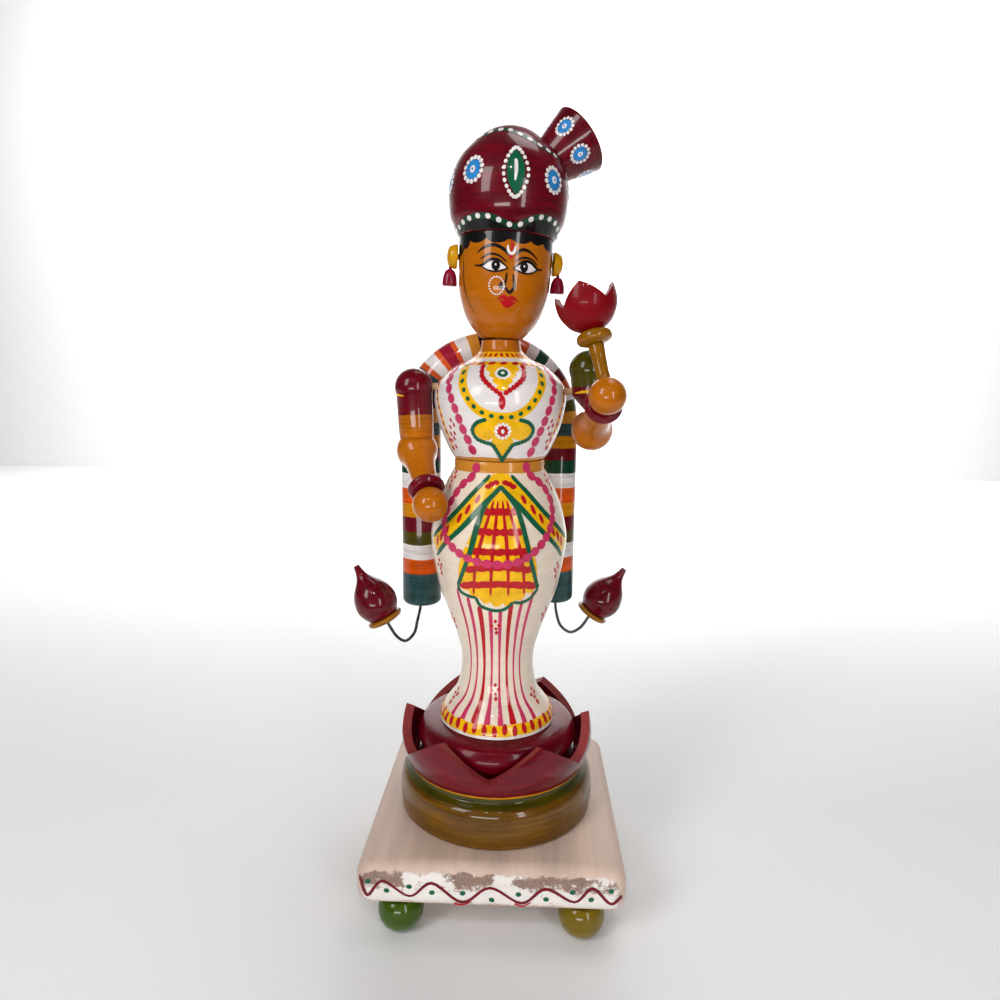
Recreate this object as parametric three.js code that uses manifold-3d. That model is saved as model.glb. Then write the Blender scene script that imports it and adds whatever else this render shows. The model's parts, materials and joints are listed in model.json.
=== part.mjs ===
// A turned and lacquered wooden doll that stands on a cut lotus pedestal and a footed plank.
// Millimetres, +Z up. The origin is on the floor under the middle of the plank; the doll faces -Y.
// Right and left are the doll's own: its right arm is on the -X side.
import * as THREE from 'three';
import * as BufferGeometryUtils from 'three/addons/utils/BufferGeometryUtils.js';
import Module from 'manifold-3d';

const wasm = await Module();
wasm.setup();

// ---- clearances -------------------------------------------------------------------------------
const GAP = 0.3;                  // between any two pieces that meet, and round every peg
const SLACK = 0.8;                // past the blind end of a peg

// ---- base -------------------------------------------------------------------------------------
const PLANK_WIDTH = 115;
const PLANK_DEPTH = 120;
const PLANK_THICK = 20;
const PLANK_CORNER = 7;
const PLANK_EDGE = 0.8;           // chamfer along the plank's edges
const FOOT_RADIUS = 10;
const FOOT_HEIGHT = 16;
const FOOT_FLAT = 4;              // radius of the flat that a foot stands on
const FOOT_FROM_SIDE = 18;        // from the plank's side to a foot's axis
const FOOT_FROM_END = 11;         // from the plank's front or back to a foot's axis
const FOOT_PEG_RADIUS = 2.5;
const FOOT_PEG_DEPTH = 9;         // in the foot, and again in the plank
const PLANK_TOP = FOOT_HEIGHT + PLANK_THICK;
const FIGURE_SET_FORWARD = 2.6;   // the doll's axis in front of the plank's middle

// ---- pedestal (heights from the plank's top) ----------------------------------------------------
const PLINTH_RADIUS = 46.5;
const PLINTH_BAND = 18.5;         // height of the plinth's wide band
const PLINTH_HEIGHT = 22.3;
const BOWL_RADIUS = 45.8;
const BOWL_FOOT_RADIUS = BOWL_RADIUS - 3.4;
const BOWL_MOUTH_RADIUS = BOWL_RADIUS - 1.8;
const BOWL_HEIGHT = 27;
const BOWL_WALL = 4.2;
const BOWL_FLOOR = 5.4;
const PETALS = 6;
const PETAL_CUT_DEPTH = 17;
const PETAL_TURN = -2;            // degrees, the first notch from straight ahead
const SEAT_CLEARANCE = 3.6;       // between the seat's rim and the bowl's inside
const SEAT_RADIUS = BOWL_RADIUS - BOWL_WALL - SEAT_CLEARANCE;
const SEAT_HEIGHT = 13.4;
const SPINDLE_RADIUS = 6;
const SPINDLE_IN_PLINTH = 8;
const SPINDLE_IN_SKIRT = 18;
const SCREW_RADIUS = 2.2;
const SCREW_HEAD_RADIUS = 4.6;
const SCREW_HEAD_HEIGHT = 3;
const SCREW_IN_PLINTH = 10;

// ---- body ---------------------------------------------------------------------------------------
const SKIRT_HEM_RADIUS = 27.4;
const SKIRT_KNEE_RADIUS = 17;
const SKIRT_HIP_RADIUS = 31.4;
const WAIST_RADIUS = 20.6;
const WAIST_BAND = 5;
const SKIRT_HEIGHT = 124.7;
const CHEST_RADIUS = 29.7;
const TORSO_HEIGHT = 52.2;
const NECK_RADIUS = 8.6;
const WAIST_PEG_RADIUS = 5;
const WAIST_PEG_DEPTH = 15;       // in the skirt, and again in the torso

// ---- head ---------------------------------------------------------------------------------------
const HEAD_LEAN = 2.5;            // degrees towards the doll's left
const HEAD_TURN = 10;             // degrees, face towards the doll's left
const NECK_GAP = 0.8;             // lets the leaning head turn over the level neck
const HEAD_RADIUS = 20.6;
const HEAD_HEIGHT = 42;
const NECK_PEG_RADIUS = 3;
const NECK_PEG_DEPTH = 16;        // in the torso, and again in the head
const TENON_RADIUS = 8;
const TENON_HEIGHT = 9;
const TURBAN_OVERHANG = 5.5;      // of the turban past the head
const TURBAN_RADIUS = HEAD_RADIUS + TURBAN_OVERHANG;
const TURBAN_HEIGHT = 46.2;
const KNOB_LENGTH = 18;
const KNOB_NARROW = 9.7;
const KNOB_WIDE = 15.2;
const KNOB_CROWN = 2.6;           // rise of the knob's domed end
const KNOB_RISE = 41;             // degrees above level
const KNOB_SWEEP = 5;             // degrees behind the doll's left
const KNOB_HEIGHT = 33.2;         // of the middle of the knob's facet above the turban's hem
const KNOB_SEAT_DEPTH = 9.1;      // of that middle inside the turban's widest radius
const KNOB_SEAT = TURBAN_RADIUS - KNOB_SEAT_DEPTH;
const KNOB_PEG_RADIUS = 2.5;
const KNOB_PEG_DEPTH = 9;
const EAR_RADIUS = 4.9;
const EAR_DOME = 4.2;
const EAR_HEIGHT = 34.5;          // above the neck's top
const EAR_PEG_RADIUS = 1.2;
const EAR_PEG_DEPTH = 6;
const EARRING_RADIUS = 3.3;
const EARRING_HEIGHT = 7.4;
const EARRING_DROP = 5.3;         // from the ear's middle to the earring's top
const EARRING_PEG_RADIUS = 0.8;
const EARRING_PEG_DEPTH = 2.4;

// ---- scarf --------------------------------------------------------------------------------------
const SCARF_RADIUS = 9.75;
const SCARF_HALF_SPAN = CHEST_RADIUS + 4.3;    // from the arch's middle to each hanging end
const SCARF_MIDDLE = [-6, CHEST_RADIUS - 1.5]; // x and y of the arch's middle
const SCARF_YAW = 8.5;            // degrees, the left end further back
const SCARF_BELOW_NECK = 3.7;     // from the neck's top down to the top of the arch's centreline
const SCARF_DROP = 91.5;          // length of the hanging ends below the arch
const SCARF_TIP_ROUND = 3;
const SCARF_PEG_RADIUS = 3;
const SCARF_PEG_DEPTH = 10;
const BACK_PEG_RADIUS = 1.8;
const BACK_PEG_BELOW_ARCH = 4.9;  // from the top of the arch's centreline down to the peg
const BACK_PEG_START = NECK_RADIUS - 2;       // from the body's axis
const BACK_PEG_END = SCARF_MIDDLE[1] - 0.2;

// ---- buds on wires --------------------------------------------------------------------------------
const WIRE_RADIUS = 0.75;
const WIRE_IN_SCARF = 6;
const WIRE_IN_BUD = 6;
const BUD_RADIUS = 9.9;
const BUD_HEIGHT = 27.4;
const CALYX_RADIUS = 8.6;
const CALYX_HEIGHT = 3.6;
// Both are measured from where the wire leaves the scarf: base is the underside of a bud's calyx,
// lean its degrees outwards, and bends the wire's way there.
const BUDS = {
  right: {
    base: [-12.4, -23, -3.3],
    lean: 28,
    bends: [[-1, -4.5, -9], [-1.8, -9, -13.4], [-5.2, -14, -15.7], [-8.8, -18.4, -12]],
  },
  left: {
    base: [18, 2.6, -9.8],
    lean: 34,
    bends: [[1, 0.2, -9], [3.3, 0.7, -15], [8.4, 1.4, -18.4], [13.7, 2, -15.8]],
  },
};
const WIRE_EXIT_OFFSET = 1;       // of a wire's hole from the middle of its scarf end, outwards

// ---- arms -----------------------------------------------------------------------------------------
const ARM_RADIUS = 8;
const SHOULDER_RADIUS = 8.7;
const ELBOW_RADIUS = 9.4;
const ELBOW_CUP_TAPER = 6.5;      // height over which an upper arm narrows to its cupped end
const WRIST_RADIUS = 5.4;
const BANGLE_RADIUS = 8.2;
const BANGLE_WIDTH = 4.6;
const HAND_RADIUS = 7.7;
const HAND_PAST_BANGLE = 12;      // from the bangle's back to the hand's middle
const ARM_PEG_RADIUS = 1.6;
const SHOULDER_PEG_DEPTH = 12;    // in the torso
const SHOULDER_PEG_IN_ARM = 6;
const ELBOW_PIN_UP = 4;           // in the upper arm, past the ball
const ELBOW_PIN_DOWN = 6;         // in the ball
const WRIST_PEG_DEPTH = 7;
// out and up are the peg's middle from the chest's side and from the torso's bottom; dome is how far
// the domed top's middle is above it; cupRim is the radius of an upper arm's cupped end.
const ARMS = {
  right: {
    side: -1, out: 9.6, up: 31.3, splay: -2.5, dome: 0, upperLength: 28.8, cupRim: 7.6,
    reach: [8.4, -25, -21.1], handAway: 34,
  },
  left: {
    side: 1, out: 10.5, up: 31, splay: 5, dome: 9.1, upperLength: 18, cupRim: 2.8,
    reach: [4, -35, 15.4], handAway: 38.4,
  },
};

// ---- held lotus -------------------------------------------------------------------------------------
const LOTUS_AXIS = [-0.227, 0.21, 0.951];
const STEM_RADIUS = 3;
const STEM_IN_HAND = 4;
const STEM_TOP = 21.4;            // from the hand's middle
const RING_RADIUS = 7.3;
const RING_HEIGHT = 5.4;
const RING_BORE = 2;
const FLOWER_RADIUS = 12.6;
const FLOWER_HEIGHT = 20;
const FLOWER_WALL = 2.4;
const FLOWER_PETALS = 4;
const FLOWER_CUT = 10.5;
const FLOWER_TURN = -12;          // degrees, the front petal's turn

// ---- finishes -----------------------------------------------------------------------------------------
function lacquer(color, roughness = 0.25, metalness = 0) {
  return new THREE.MeshStandardMaterial({ color, roughness, metalness });
}
const PINK_WOOD = lacquer(0xcaa396, 0.75);
const BARE_WOOD = lacquer(0xc89b6c, 0.7);
const GREEN = lacquer(0x1f4a24);
const OLIVE = lacquer(0x6b5410);
const MAROON = lacquer(0x5c0713);
const CREAM = lacquer(0xe6d6bf, 0.5);
const FLESH = lacquer(0xb8691a);
const YELLOW = lacquer(0xd9a400);
const TEAL = lacquer(0x2c6b5a);
const STEEL = lacquer(0x8a8a88, 0.35, 1);

// ---- shaping helpers --------------------------------------------------------------------------------
const degrees = THREE.MathUtils.degToRad;

// A geometry as a closed solid: shared corners merged, flat slivers at the poles dropped.
function solid(geometry) {
  const bare = geometry.clone();
  bare.deleteAttribute('normal');
  bare.deleteAttribute('uv');
  const merged = BufferGeometryUtils.mergeVertices(bare, 1e-4);
  const corners = merged.index.array;
  const kept = [];
  for (let i = 0; i < corners.length; i += 3) {
    const [a, b, c] = [corners[i], corners[i + 1], corners[i + 2]];
    if (a !== b && b !== c && c !== a) kept.push(a, b, c);
  }
  return new wasm.Manifold(new wasm.Mesh({
    numProp: 3,
    vertProperties: new Float32Array(merged.attributes.position.array),
    triVerts: new Uint32Array(kept),
  }));
}

function geometryOf(manifold) {
  const mesh = manifold.getMesh();
  const geometry = new THREE.BufferGeometry();
  geometry.setAttribute('position', new THREE.BufferAttribute(mesh.vertProperties, 3));
  geometry.setIndex(new THREE.BufferAttribute(mesh.triVerts, 1));
  geometry.computeVertexNormals();
  return geometry;
}

function cut(body, ...tools) {
  return tools.reduce((rest, tool) => rest.subtract(tool), body);
}

// A smooth run of [radius, height] points through the given ones.
function curve(points, steps) {
  const spline = new THREE.SplineCurve(points.map(([r, z]) => new THREE.Vector2(r, z)));
  return spline.getPoints(steps).map((p) => [p.x, p.y]);
}

// [radius, height] points along an arc round (0, centre), from one angle to the other above level.
function arc(radius, centre, from, to, steps) {
  return Array.from({ length: steps + 1 }, (_, i) => {
    const angle = degrees(from + ((to - from) * i) / steps);
    return [radius * Math.cos(angle), centre + radius * Math.sin(angle)];
  });
}

// Turns an outline, given from its lowest point on the axis to its highest, round the Z axis.
function turned(outline, sides = 32) {
  const points = outline.map(([r, z]) => new THREE.Vector2(Math.max(r, 0), z));
  return solid(new THREE.LatheGeometry(points, sides).rotateX(Math.PI / 2));
}

function rod(radius, bottom, top, sides = 10) {
  return turned([[0, bottom], [radius, bottom], [radius, top], [0, top]], sides);
}

// Moves a solid by a position and a turn given as an Object3D's.
function placed(body, { position = [0, 0, 0], quaternion = new THREE.Quaternion() }) {
  const matrix = new THREE.Matrix4().compose(
    new THREE.Vector3(...position), quaternion, new THREE.Vector3(1, 1, 1));
  return body.transform(matrix.elements);
}

function alongAxis(direction) {
  const up = new THREE.Vector3(0, 0, 1);
  return new THREE.Quaternion().setFromUnitVectors(up, new THREE.Vector3(...direction).normalize());
}

function piece(name, material, body, parent) {
  const mesh = new THREE.Mesh(geometryOf(body), material.clone());
  mesh.name = name;
  parent.add(mesh);
  return mesh;
}

function group(parent, position = [0, 0, 0]) {
  const made = new THREE.Group();
  made.position.set(...position);
  parent.add(made);
  return made;
}

// V-shaped wedges, side by side round the axis, that cut a rim into petals.
function notches(count, turn, top, depth, rimRadius) {
  const halfWidth = rimRadius * Math.tan(Math.PI / count);
  const over = 1.25;
  const outline = new THREE.Shape([
    new THREE.Vector2(0, top - depth),
    new THREE.Vector2(halfWidth * over, top - depth + depth * over),
    new THREE.Vector2(-halfWidth * over, top - depth + depth * over),
  ]);
  const wedge = new THREE.ExtrudeGeometry(outline, { depth: rimRadius * 1.5, bevelEnabled: false });
  wedge.rotateX(Math.PI / 2);
  return Array.from({ length: count }, (_, i) => {
    const angle = degrees(turn) + (i * 2 * Math.PI) / count;
    return solid(wedge.clone().rotateZ(angle));
  });
}

// ---- base ---------------------------------------------------------------------------------------------
const doll = new THREE.Group();

const FOOT_X = PLANK_WIDTH / 2 - FOOT_FROM_SIDE;
const FOOT_Y = PLANK_DEPTH / 2 - FOOT_FROM_END;
const FEET = [
  ['foot_front_right', -FOOT_X, -FOOT_Y, GREEN],
  ['foot_front_left', FOOT_X, -FOOT_Y, OLIVE],
  ['foot_rear_right', -FOOT_X, FOOT_Y, OLIVE],
  ['foot_rear_left', FOOT_X, FOOT_Y, GREEN],
];

function makePlank() {
  const outline = new THREE.Shape();
  const [w, d, c] = [PLANK_WIDTH / 2 - PLANK_EDGE, PLANK_DEPTH / 2 - PLANK_EDGE, PLANK_CORNER];
  outline.moveTo(-w + c, -d);
  outline.lineTo(w - c, -d);
  outline.absarc(w - c, -d + c, c, -Math.PI / 2, 0);
  outline.lineTo(w, d - c);
  outline.absarc(w - c, d - c, c, 0, Math.PI / 2);
  outline.lineTo(-w + c, d);
  outline.absarc(-w + c, d - c, c, Math.PI / 2, Math.PI);
  outline.lineTo(-w, -d + c);
  outline.absarc(-w + c, -d + c, c, Math.PI, 1.5 * Math.PI);
  const board = new THREE.ExtrudeGeometry(outline, {
    depth: PLANK_THICK - 2 * PLANK_EDGE,
    bevelThickness: PLANK_EDGE,
    bevelSize: PLANK_EDGE,
    bevelSegments: 1,
    curveSegments: 3,
  });
  board.translate(0, 0, FOOT_HEIGHT + PLANK_EDGE);
  const socket = rod(FOOT_PEG_RADIUS + GAP, FOOT_HEIGHT - 1, FOOT_HEIGHT + FOOT_PEG_DEPTH + SLACK);
  const sockets = FEET.map(([, x, y]) => placed(socket, { position: [x, y, 0] }));
  const screwHole = turned([
    [0, FOOT_HEIGHT - 1],
    [SCREW_HEAD_RADIUS + GAP, FOOT_HEIGHT - 1],
    [SCREW_HEAD_RADIUS + GAP, FOOT_HEIGHT + GAP],
    [SCREW_RADIUS + GAP, FOOT_HEIGHT + SCREW_HEAD_HEIGHT + 2 * GAP],
    [SCREW_RADIUS + GAP, PLANK_TOP + 1],
    [0, PLANK_TOP + 1],
  ], 16);
  const hole = placed(screwHole, { position: [0, -FIGURE_SET_FORWARD, 0] });
  return cut(solid(board), hole, ...sockets);
}
piece('base_plank', PINK_WOOD, makePlank(), doll);

function makeFoot() {
  const middle = Math.sqrt(FOOT_RADIUS ** 2 - FOOT_FLAT ** 2);
  const top = FOOT_HEIGHT - GAP;
  const low = THREE.MathUtils.radToDeg(Math.asin(-middle / FOOT_RADIUS));
  const high = THREE.MathUtils.radToDeg(Math.asin((top - middle) / FOOT_RADIUS));
  const ball = turned([[0, 0], ...arc(FOOT_RADIUS, middle, low, high, 6), [0, top]], 14);
  return cut(ball, rod(FOOT_PEG_RADIUS + GAP, top - FOOT_PEG_DEPTH - SLACK, top + 1));
}
const foot = makeFoot();
const footPeg = rod(FOOT_PEG_RADIUS, FOOT_HEIGHT - GAP - FOOT_PEG_DEPTH, FOOT_HEIGHT + FOOT_PEG_DEPTH, 8);
for (const [name, x, y, finish] of FEET) {
  const place = group(doll, [x, y, 0]);
  piece(name, finish, foot, place);
  piece(name.replace('foot', 'foot_peg'), BARE_WOOD, footPeg, place);
}

// ---- pedestal, in the doll's own axis and measured up from the plank ------------------------------------
const figure = group(doll, [0, -FIGURE_SET_FORWARD, PLANK_TOP]);

const BOWL_BOTTOM = PLINTH_HEIGHT + GAP;
const BOWL_TOP = BOWL_BOTTOM + BOWL_HEIGHT;
const SEAT_BOTTOM = BOWL_BOTTOM + BOWL_FLOOR + GAP;
const SEAT_TOP = SEAT_BOTTOM + SEAT_HEIGHT;
const SKIRT_BOTTOM = SEAT_TOP + GAP;
const SPINDLE_BOTTOM = PLINTH_HEIGHT - SPINDLE_IN_PLINTH;
const SPINDLE_TOP = SKIRT_BOTTOM + SPINDLE_IN_SKIRT;
const spindleHole = rod(SPINDLE_RADIUS + GAP, SPINDLE_BOTTOM - SLACK, SPINDLE_TOP + SLACK, 14);

const SCREW_TOP = SCREW_IN_PLINTH;
const screwHoleInPlinth = rod(SCREW_RADIUS + GAP, -1, SCREW_TOP + SLACK, 8);
const plinthOutline = [
  [0, GAP],
  [PLINTH_RADIUS - 0.8, GAP],
  ...curve([
    [PLINTH_RADIUS - 0.5, 1.2],
    [PLINTH_RADIUS, PLINTH_BAND * 0.45],
    [PLINTH_RADIUS - 0.7, PLINTH_BAND * 0.8],
    [PLINTH_RADIUS - 2.2, PLINTH_BAND],
  ], 5),
  [BOWL_FOOT_RADIUS - 1.6, PLINTH_BAND + 0.9],
  [BOWL_FOOT_RADIUS - 1.2, PLINTH_HEIGHT],
  [0, PLINTH_HEIGHT],
];
piece('plinth', OLIVE, cut(turned(plinthOutline, 28), spindleHole, screwHoleInPlinth), figure);

const pedestalScrew = turned([
  [0, -PLANK_THICK + GAP],
  [SCREW_HEAD_RADIUS, -PLANK_THICK + GAP],
  [SCREW_RADIUS, -PLANK_THICK + GAP + SCREW_HEAD_HEIGHT],
  [SCREW_RADIUS, SCREW_TOP - 3],
  [0, SCREW_TOP],
], 16);
piece('pedestal_screw', STEEL, pedestalScrew, figure);

function makeBowl() {
  const outside = curve([
    [BOWL_FOOT_RADIUS, BOWL_BOTTOM],
    [BOWL_RADIUS - 0.9, BOWL_BOTTOM + BOWL_HEIGHT * 0.26],
    [BOWL_RADIUS, BOWL_BOTTOM + BOWL_HEIGHT * 0.55],
    [BOWL_MOUTH_RADIUS, BOWL_TOP],
  ], 7);
  const inside = curve([
    [BOWL_MOUTH_RADIUS - BOWL_WALL, BOWL_TOP],
    [BOWL_RADIUS - BOWL_WALL, BOWL_BOTTOM + BOWL_HEIGHT * 0.55],
    [BOWL_RADIUS - BOWL_WALL - 1, BOWL_BOTTOM + BOWL_HEIGHT * 0.34],
    [SEAT_RADIUS - 0.6, BOWL_BOTTOM + BOWL_FLOOR],
  ], 5);
  const bowl = turned([
    [0, BOWL_BOTTOM], ...outside, ...inside, [0, BOWL_BOTTOM + BOWL_FLOOR],
  ], 30);
  return cut(bowl, spindleHole,
    ...notches(PETALS, PETAL_TURN, BOWL_TOP, PETAL_CUT_DEPTH, BOWL_MOUTH_RADIUS));
}
piece('lotus_bowl', MAROON, makeBowl(), figure);

const seatOutline = [
  [0, SEAT_BOTTOM],
  ...curve([
    [SEAT_RADIUS - 3, SEAT_BOTTOM],
    [SEAT_RADIUS, SEAT_BOTTOM + SEAT_HEIGHT * 0.45],
    [SEAT_RADIUS - 2, SEAT_TOP - 1.6],
    [SEAT_RADIUS - 5, SEAT_TOP],
  ], 5),
  [0, SEAT_TOP],
];
piece('lotus_seat', MAROON, cut(turned(seatOutline, 24), spindleHole), figure);
piece('spindle', BARE_WOOD, rod(SPINDLE_RADIUS, SPINDLE_BOTTOM, SPINDLE_TOP, 14), figure);

// ---- skirt and torso --------------------------------------------------------------------------------------
const SKIRT_TOP = SKIRT_BOTTOM + SKIRT_HEIGHT;
const TORSO_BOTTOM = SKIRT_TOP + GAP;
const NECK_TOP = TORSO_BOTTOM + TORSO_HEIGHT;
const ARCH_TOP = NECK_TOP - SCARF_BELOW_NECK;
const SCARF_SPRING = ARCH_TOP - SCARF_HALF_SPAN;
const SCARF_END = SCARF_SPRING - SCARF_DROP;
const skirtAt = (share) => SKIRT_BOTTOM + share * (SKIRT_HEIGHT - WAIST_BAND);
const torsoAt = (share) => TORSO_BOTTOM + share * TORSO_HEIGHT;

const waistHole = rod(WAIST_PEG_RADIUS + GAP,
  SKIRT_TOP - WAIST_PEG_DEPTH - SLACK, TORSO_BOTTOM + WAIST_PEG_DEPTH + SLACK);
const skirtOutline = [
  [0, SKIRT_BOTTOM],
  ...curve([
    [SKIRT_HEM_RADIUS, SKIRT_BOTTOM],
    [SKIRT_HEM_RADIUS - 0.9, skirtAt(0.035)],
    [SKIRT_KNEE_RADIUS + 6.2, skirtAt(0.076)],
    [SKIRT_KNEE_RADIUS + 2.6, skirtAt(0.118)],
    [SKIRT_KNEE_RADIUS + 0.5, skirtAt(0.184)],
    [SKIRT_KNEE_RADIUS, skirtAt(0.246)],
    [SKIRT_KNEE_RADIUS + 1.1, skirtAt(0.309)],
    [SKIRT_KNEE_RADIUS + 4.2, skirtAt(0.393)],
    [SKIRT_HIP_RADIUS - 6.6, skirtAt(0.476)],
    [SKIRT_HIP_RADIUS - 3.3, skirtAt(0.559)],
    [SKIRT_HIP_RADIUS, skirtAt(0.718)],
    [SKIRT_HIP_RADIUS - 0.9, skirtAt(0.798)],
    [SKIRT_HIP_RADIUS - 3.4, skirtAt(0.877)],
    [WAIST_RADIUS + 3.4, skirtAt(0.955)],
    [WAIST_RADIUS + 0.5, skirtAt(1)],
  ], 16),
  [WAIST_RADIUS, skirtAt(1) + 0.6],
  [WAIST_RADIUS, SKIRT_TOP],
  [0, SKIRT_TOP],
];
piece('skirt', CREAM, cut(turned(skirtOutline, 24), spindleHole, waistHole), figure);
piece('waist_peg', BARE_WOOD, rod(WAIST_PEG_RADIUS,
  SKIRT_TOP - WAIST_PEG_DEPTH, TORSO_BOTTOM + WAIST_PEG_DEPTH), figure);

// The head leans about the middle of the neck's top, and its peg and both sockets lean with it.
const lean = {
  position: [0, 0, NECK_TOP],
  quaternion: new THREE.Quaternion().setFromAxisAngle(new THREE.Vector3(0, 1, 0), degrees(HEAD_LEAN)),
};
const neckSocket = rod(NECK_PEG_RADIUS + GAP, -NECK_PEG_DEPTH - SLACK, NECK_GAP + NECK_PEG_DEPTH + SLACK);

// A frame at an arm's shoulder: its X runs along the shoulder peg and its Z up the upper arm.
function shoulderFrame({ side, out, up, splay }) {
  return {
    position: [side * (CHEST_RADIUS + out), 0, TORSO_BOTTOM + up],
    quaternion: new THREE.Quaternion().setFromAxisAngle(new THREE.Vector3(0, 1, 0), degrees(-side * splay)),
  };
}
// A rod along the shoulder's X, from outside the arm's middle inwards to the body.
function shoulderRod({ side, out }, radius, extra) {
  const inward = out + SHOULDER_PEG_DEPTH + extra;
  const body = rod(radius, -SHOULDER_PEG_IN_ARM - extra, inward, 8);
  return placed(body, { quaternion: alongAxis([-side, 0, 0]) });
}
const shoulderSockets = Object.values(ARMS).map((arm) =>
  placed(shoulderRod(arm, ARM_PEG_RADIUS + GAP, SLACK), shoulderFrame(arm)));

const backPegPlace = {
  position: [SCARF_MIDDLE[0], 0, ARCH_TOP - BACK_PEG_BELOW_ARCH],
  quaternion: alongAxis([0, 1, 0]),
};
const backSocket = placed(
  rod(BACK_PEG_RADIUS + GAP, BACK_PEG_START - GAP, BACK_PEG_END + SLACK, 8), backPegPlace);

const torsoOutline = [
  [0, TORSO_BOTTOM],
  ...curve([
    [WAIST_RADIUS, TORSO_BOTTOM],
    [WAIST_RADIUS + 2.2, torsoAt(0.065)],
    [WAIST_RADIUS + 4.7, torsoAt(0.17)],
    [CHEST_RADIUS - 2.1, torsoAt(0.284)],
    [CHEST_RADIUS - 0.6, torsoAt(0.414)],
    [CHEST_RADIUS, torsoAt(0.5)],
    [CHEST_RADIUS - 0.8, torsoAt(0.604)],
    [CHEST_RADIUS - 3.8, torsoAt(0.688)],
    [CHEST_RADIUS - 8.9, torsoAt(0.774)],
    [NECK_RADIUS + 5.4, torsoAt(0.84)],
    [NECK_RADIUS + 2.2, torsoAt(0.884)],
    [NECK_RADIUS + 0.6, torsoAt(0.926)],
    [NECK_RADIUS, NECK_TOP],
  ], 14),
  [0, NECK_TOP],
];
piece('torso', CREAM, cut(turned(torsoOutline, 24),
  waistHole, placed(neckSocket, lean), backSocket, ...shoulderSockets), figure);

// ---- head ----------------------------------------------------------------------------------------------------
const headPlace = group(figure, lean.position);
headPlace.quaternion.copy(lean.quaternion);
piece('neck_peg', BARE_WOOD, rod(NECK_PEG_RADIUS, -NECK_PEG_DEPTH, NECK_GAP + NECK_PEG_DEPTH), headPlace);

const head = group(headPlace);
head.rotation.z = degrees(HEAD_TURN);

const HEAD_TOP = NECK_GAP + HEAD_HEIGHT;
const earFaceAt = HEAD_RADIUS + 0.5;
const earSocket = rod(EAR_PEG_RADIUS + GAP, earFaceAt - EAR_PEG_DEPTH - SLACK, earFaceAt + 1, 8);
const EARS = [['right', -1], ['left', 1]];
const earPlace = (side) => ({ position: [0, 0, EAR_HEIGHT], quaternion: alongAxis([side, 0, 0]) });

const headOutline = [
  [0, NECK_GAP],
  ...curve([
    [NECK_RADIUS + 0.6, NECK_GAP],
    [HEAD_RADIUS - 7.4, 4.9],
    [HEAD_RADIUS - 4.6, 8.9],
    [HEAD_RADIUS - 1.9, 15.9],
    [HEAD_RADIUS - 0.6, 21.9],
    [HEAD_RADIUS - 0.2, 30.9],
    [HEAD_RADIUS, HEAD_TOP],
  ], 9),
  [TENON_RADIUS, HEAD_TOP],
  [TENON_RADIUS, HEAD_TOP + TENON_HEIGHT],
  [0, HEAD_TOP + TENON_HEIGHT],
];
piece('head', FLESH, cut(turned(headOutline, 24), neckSocket,
  ...EARS.map(([, side]) => placed(earSocket, earPlace(side)))), head);

const TURBAN_BOTTOM = HEAD_TOP + GAP;
const turbanAt = (share) => TURBAN_BOTTOM + share * TURBAN_HEIGHT;
const turbanOutline = [
  [0, TURBAN_BOTTOM],
  ...curve([
    [HEAD_RADIUS + 0.4, TURBAN_BOTTOM],
    [TURBAN_RADIUS - 3.4, turbanAt(0.07)],
    [TURBAN_RADIUS - 1, turbanAt(0.18)],
    [TURBAN_RADIUS, turbanAt(0.36)],
    [TURBAN_RADIUS - 0.9, turbanAt(0.53)],
    [TURBAN_RADIUS - 4.4, turbanAt(0.71)],
    [TURBAN_RADIUS - 12.2, turbanAt(0.89)],
    [TURBAN_RADIUS - 19, turbanAt(0.975)],
    [0, turbanAt(1)],
  ], 12),
];
const tenonSocket = rod(TENON_RADIUS + GAP, TURBAN_BOTTOM - 1, HEAD_TOP + TENON_HEIGHT + SLACK, 14);

// The knob's frame has its Z along the knob, and starts at the middle of the turban's facet.
const knobDirection = [
  Math.cos(degrees(KNOB_RISE)) * Math.cos(degrees(KNOB_SWEEP)),
  Math.cos(degrees(KNOB_RISE)) * Math.sin(degrees(KNOB_SWEEP)),
  Math.sin(degrees(KNOB_RISE)),
];
const knobPlace = {
  position: [
    knobDirection[0] * KNOB_SEAT / Math.cos(degrees(KNOB_RISE)),
    knobDirection[1] * KNOB_SEAT / Math.cos(degrees(KNOB_RISE)),
    TURBAN_BOTTOM + KNOB_HEIGHT,
  ],
  quaternion: alongAxis(knobDirection),
};
const facetCut = rod(KNOB_WIDE + 8, 0, KNOB_LENGTH, 8);
const knobSocket = rod(KNOB_PEG_RADIUS + GAP, -KNOB_PEG_DEPTH - SLACK, GAP + KNOB_PEG_DEPTH + SLACK, 8);
piece('turban', MAROON, cut(turned(turbanOutline, 24), tenonSocket,
  placed(facetCut, knobPlace), placed(knobSocket, knobPlace)), head);

const knobGroup = group(head, knobPlace.position);
knobGroup.quaternion.copy(knobPlace.quaternion);
const knobOutline = [
  [0, GAP],
  [KNOB_NARROW, GAP],
  [KNOB_WIDE - 0.4, GAP + KNOB_LENGTH - 1.4],
  [KNOB_WIDE, GAP + KNOB_LENGTH - 0.6],
  ...curve([
    [KNOB_WIDE - 0.6, GAP + KNOB_LENGTH],
    [KNOB_WIDE * 0.5, GAP + KNOB_LENGTH + KNOB_CROWN * 0.75],
    [0, GAP + KNOB_LENGTH + KNOB_CROWN],
  ], 4),
];
piece('turban_knob', MAROON, cut(turned(knobOutline, 18), knobSocket), knobGroup);
piece('knob_peg', BARE_WOOD, rod(KNOB_PEG_RADIUS, -KNOB_PEG_DEPTH, GAP + KNOB_PEG_DEPTH, 8), knobGroup);

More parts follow.
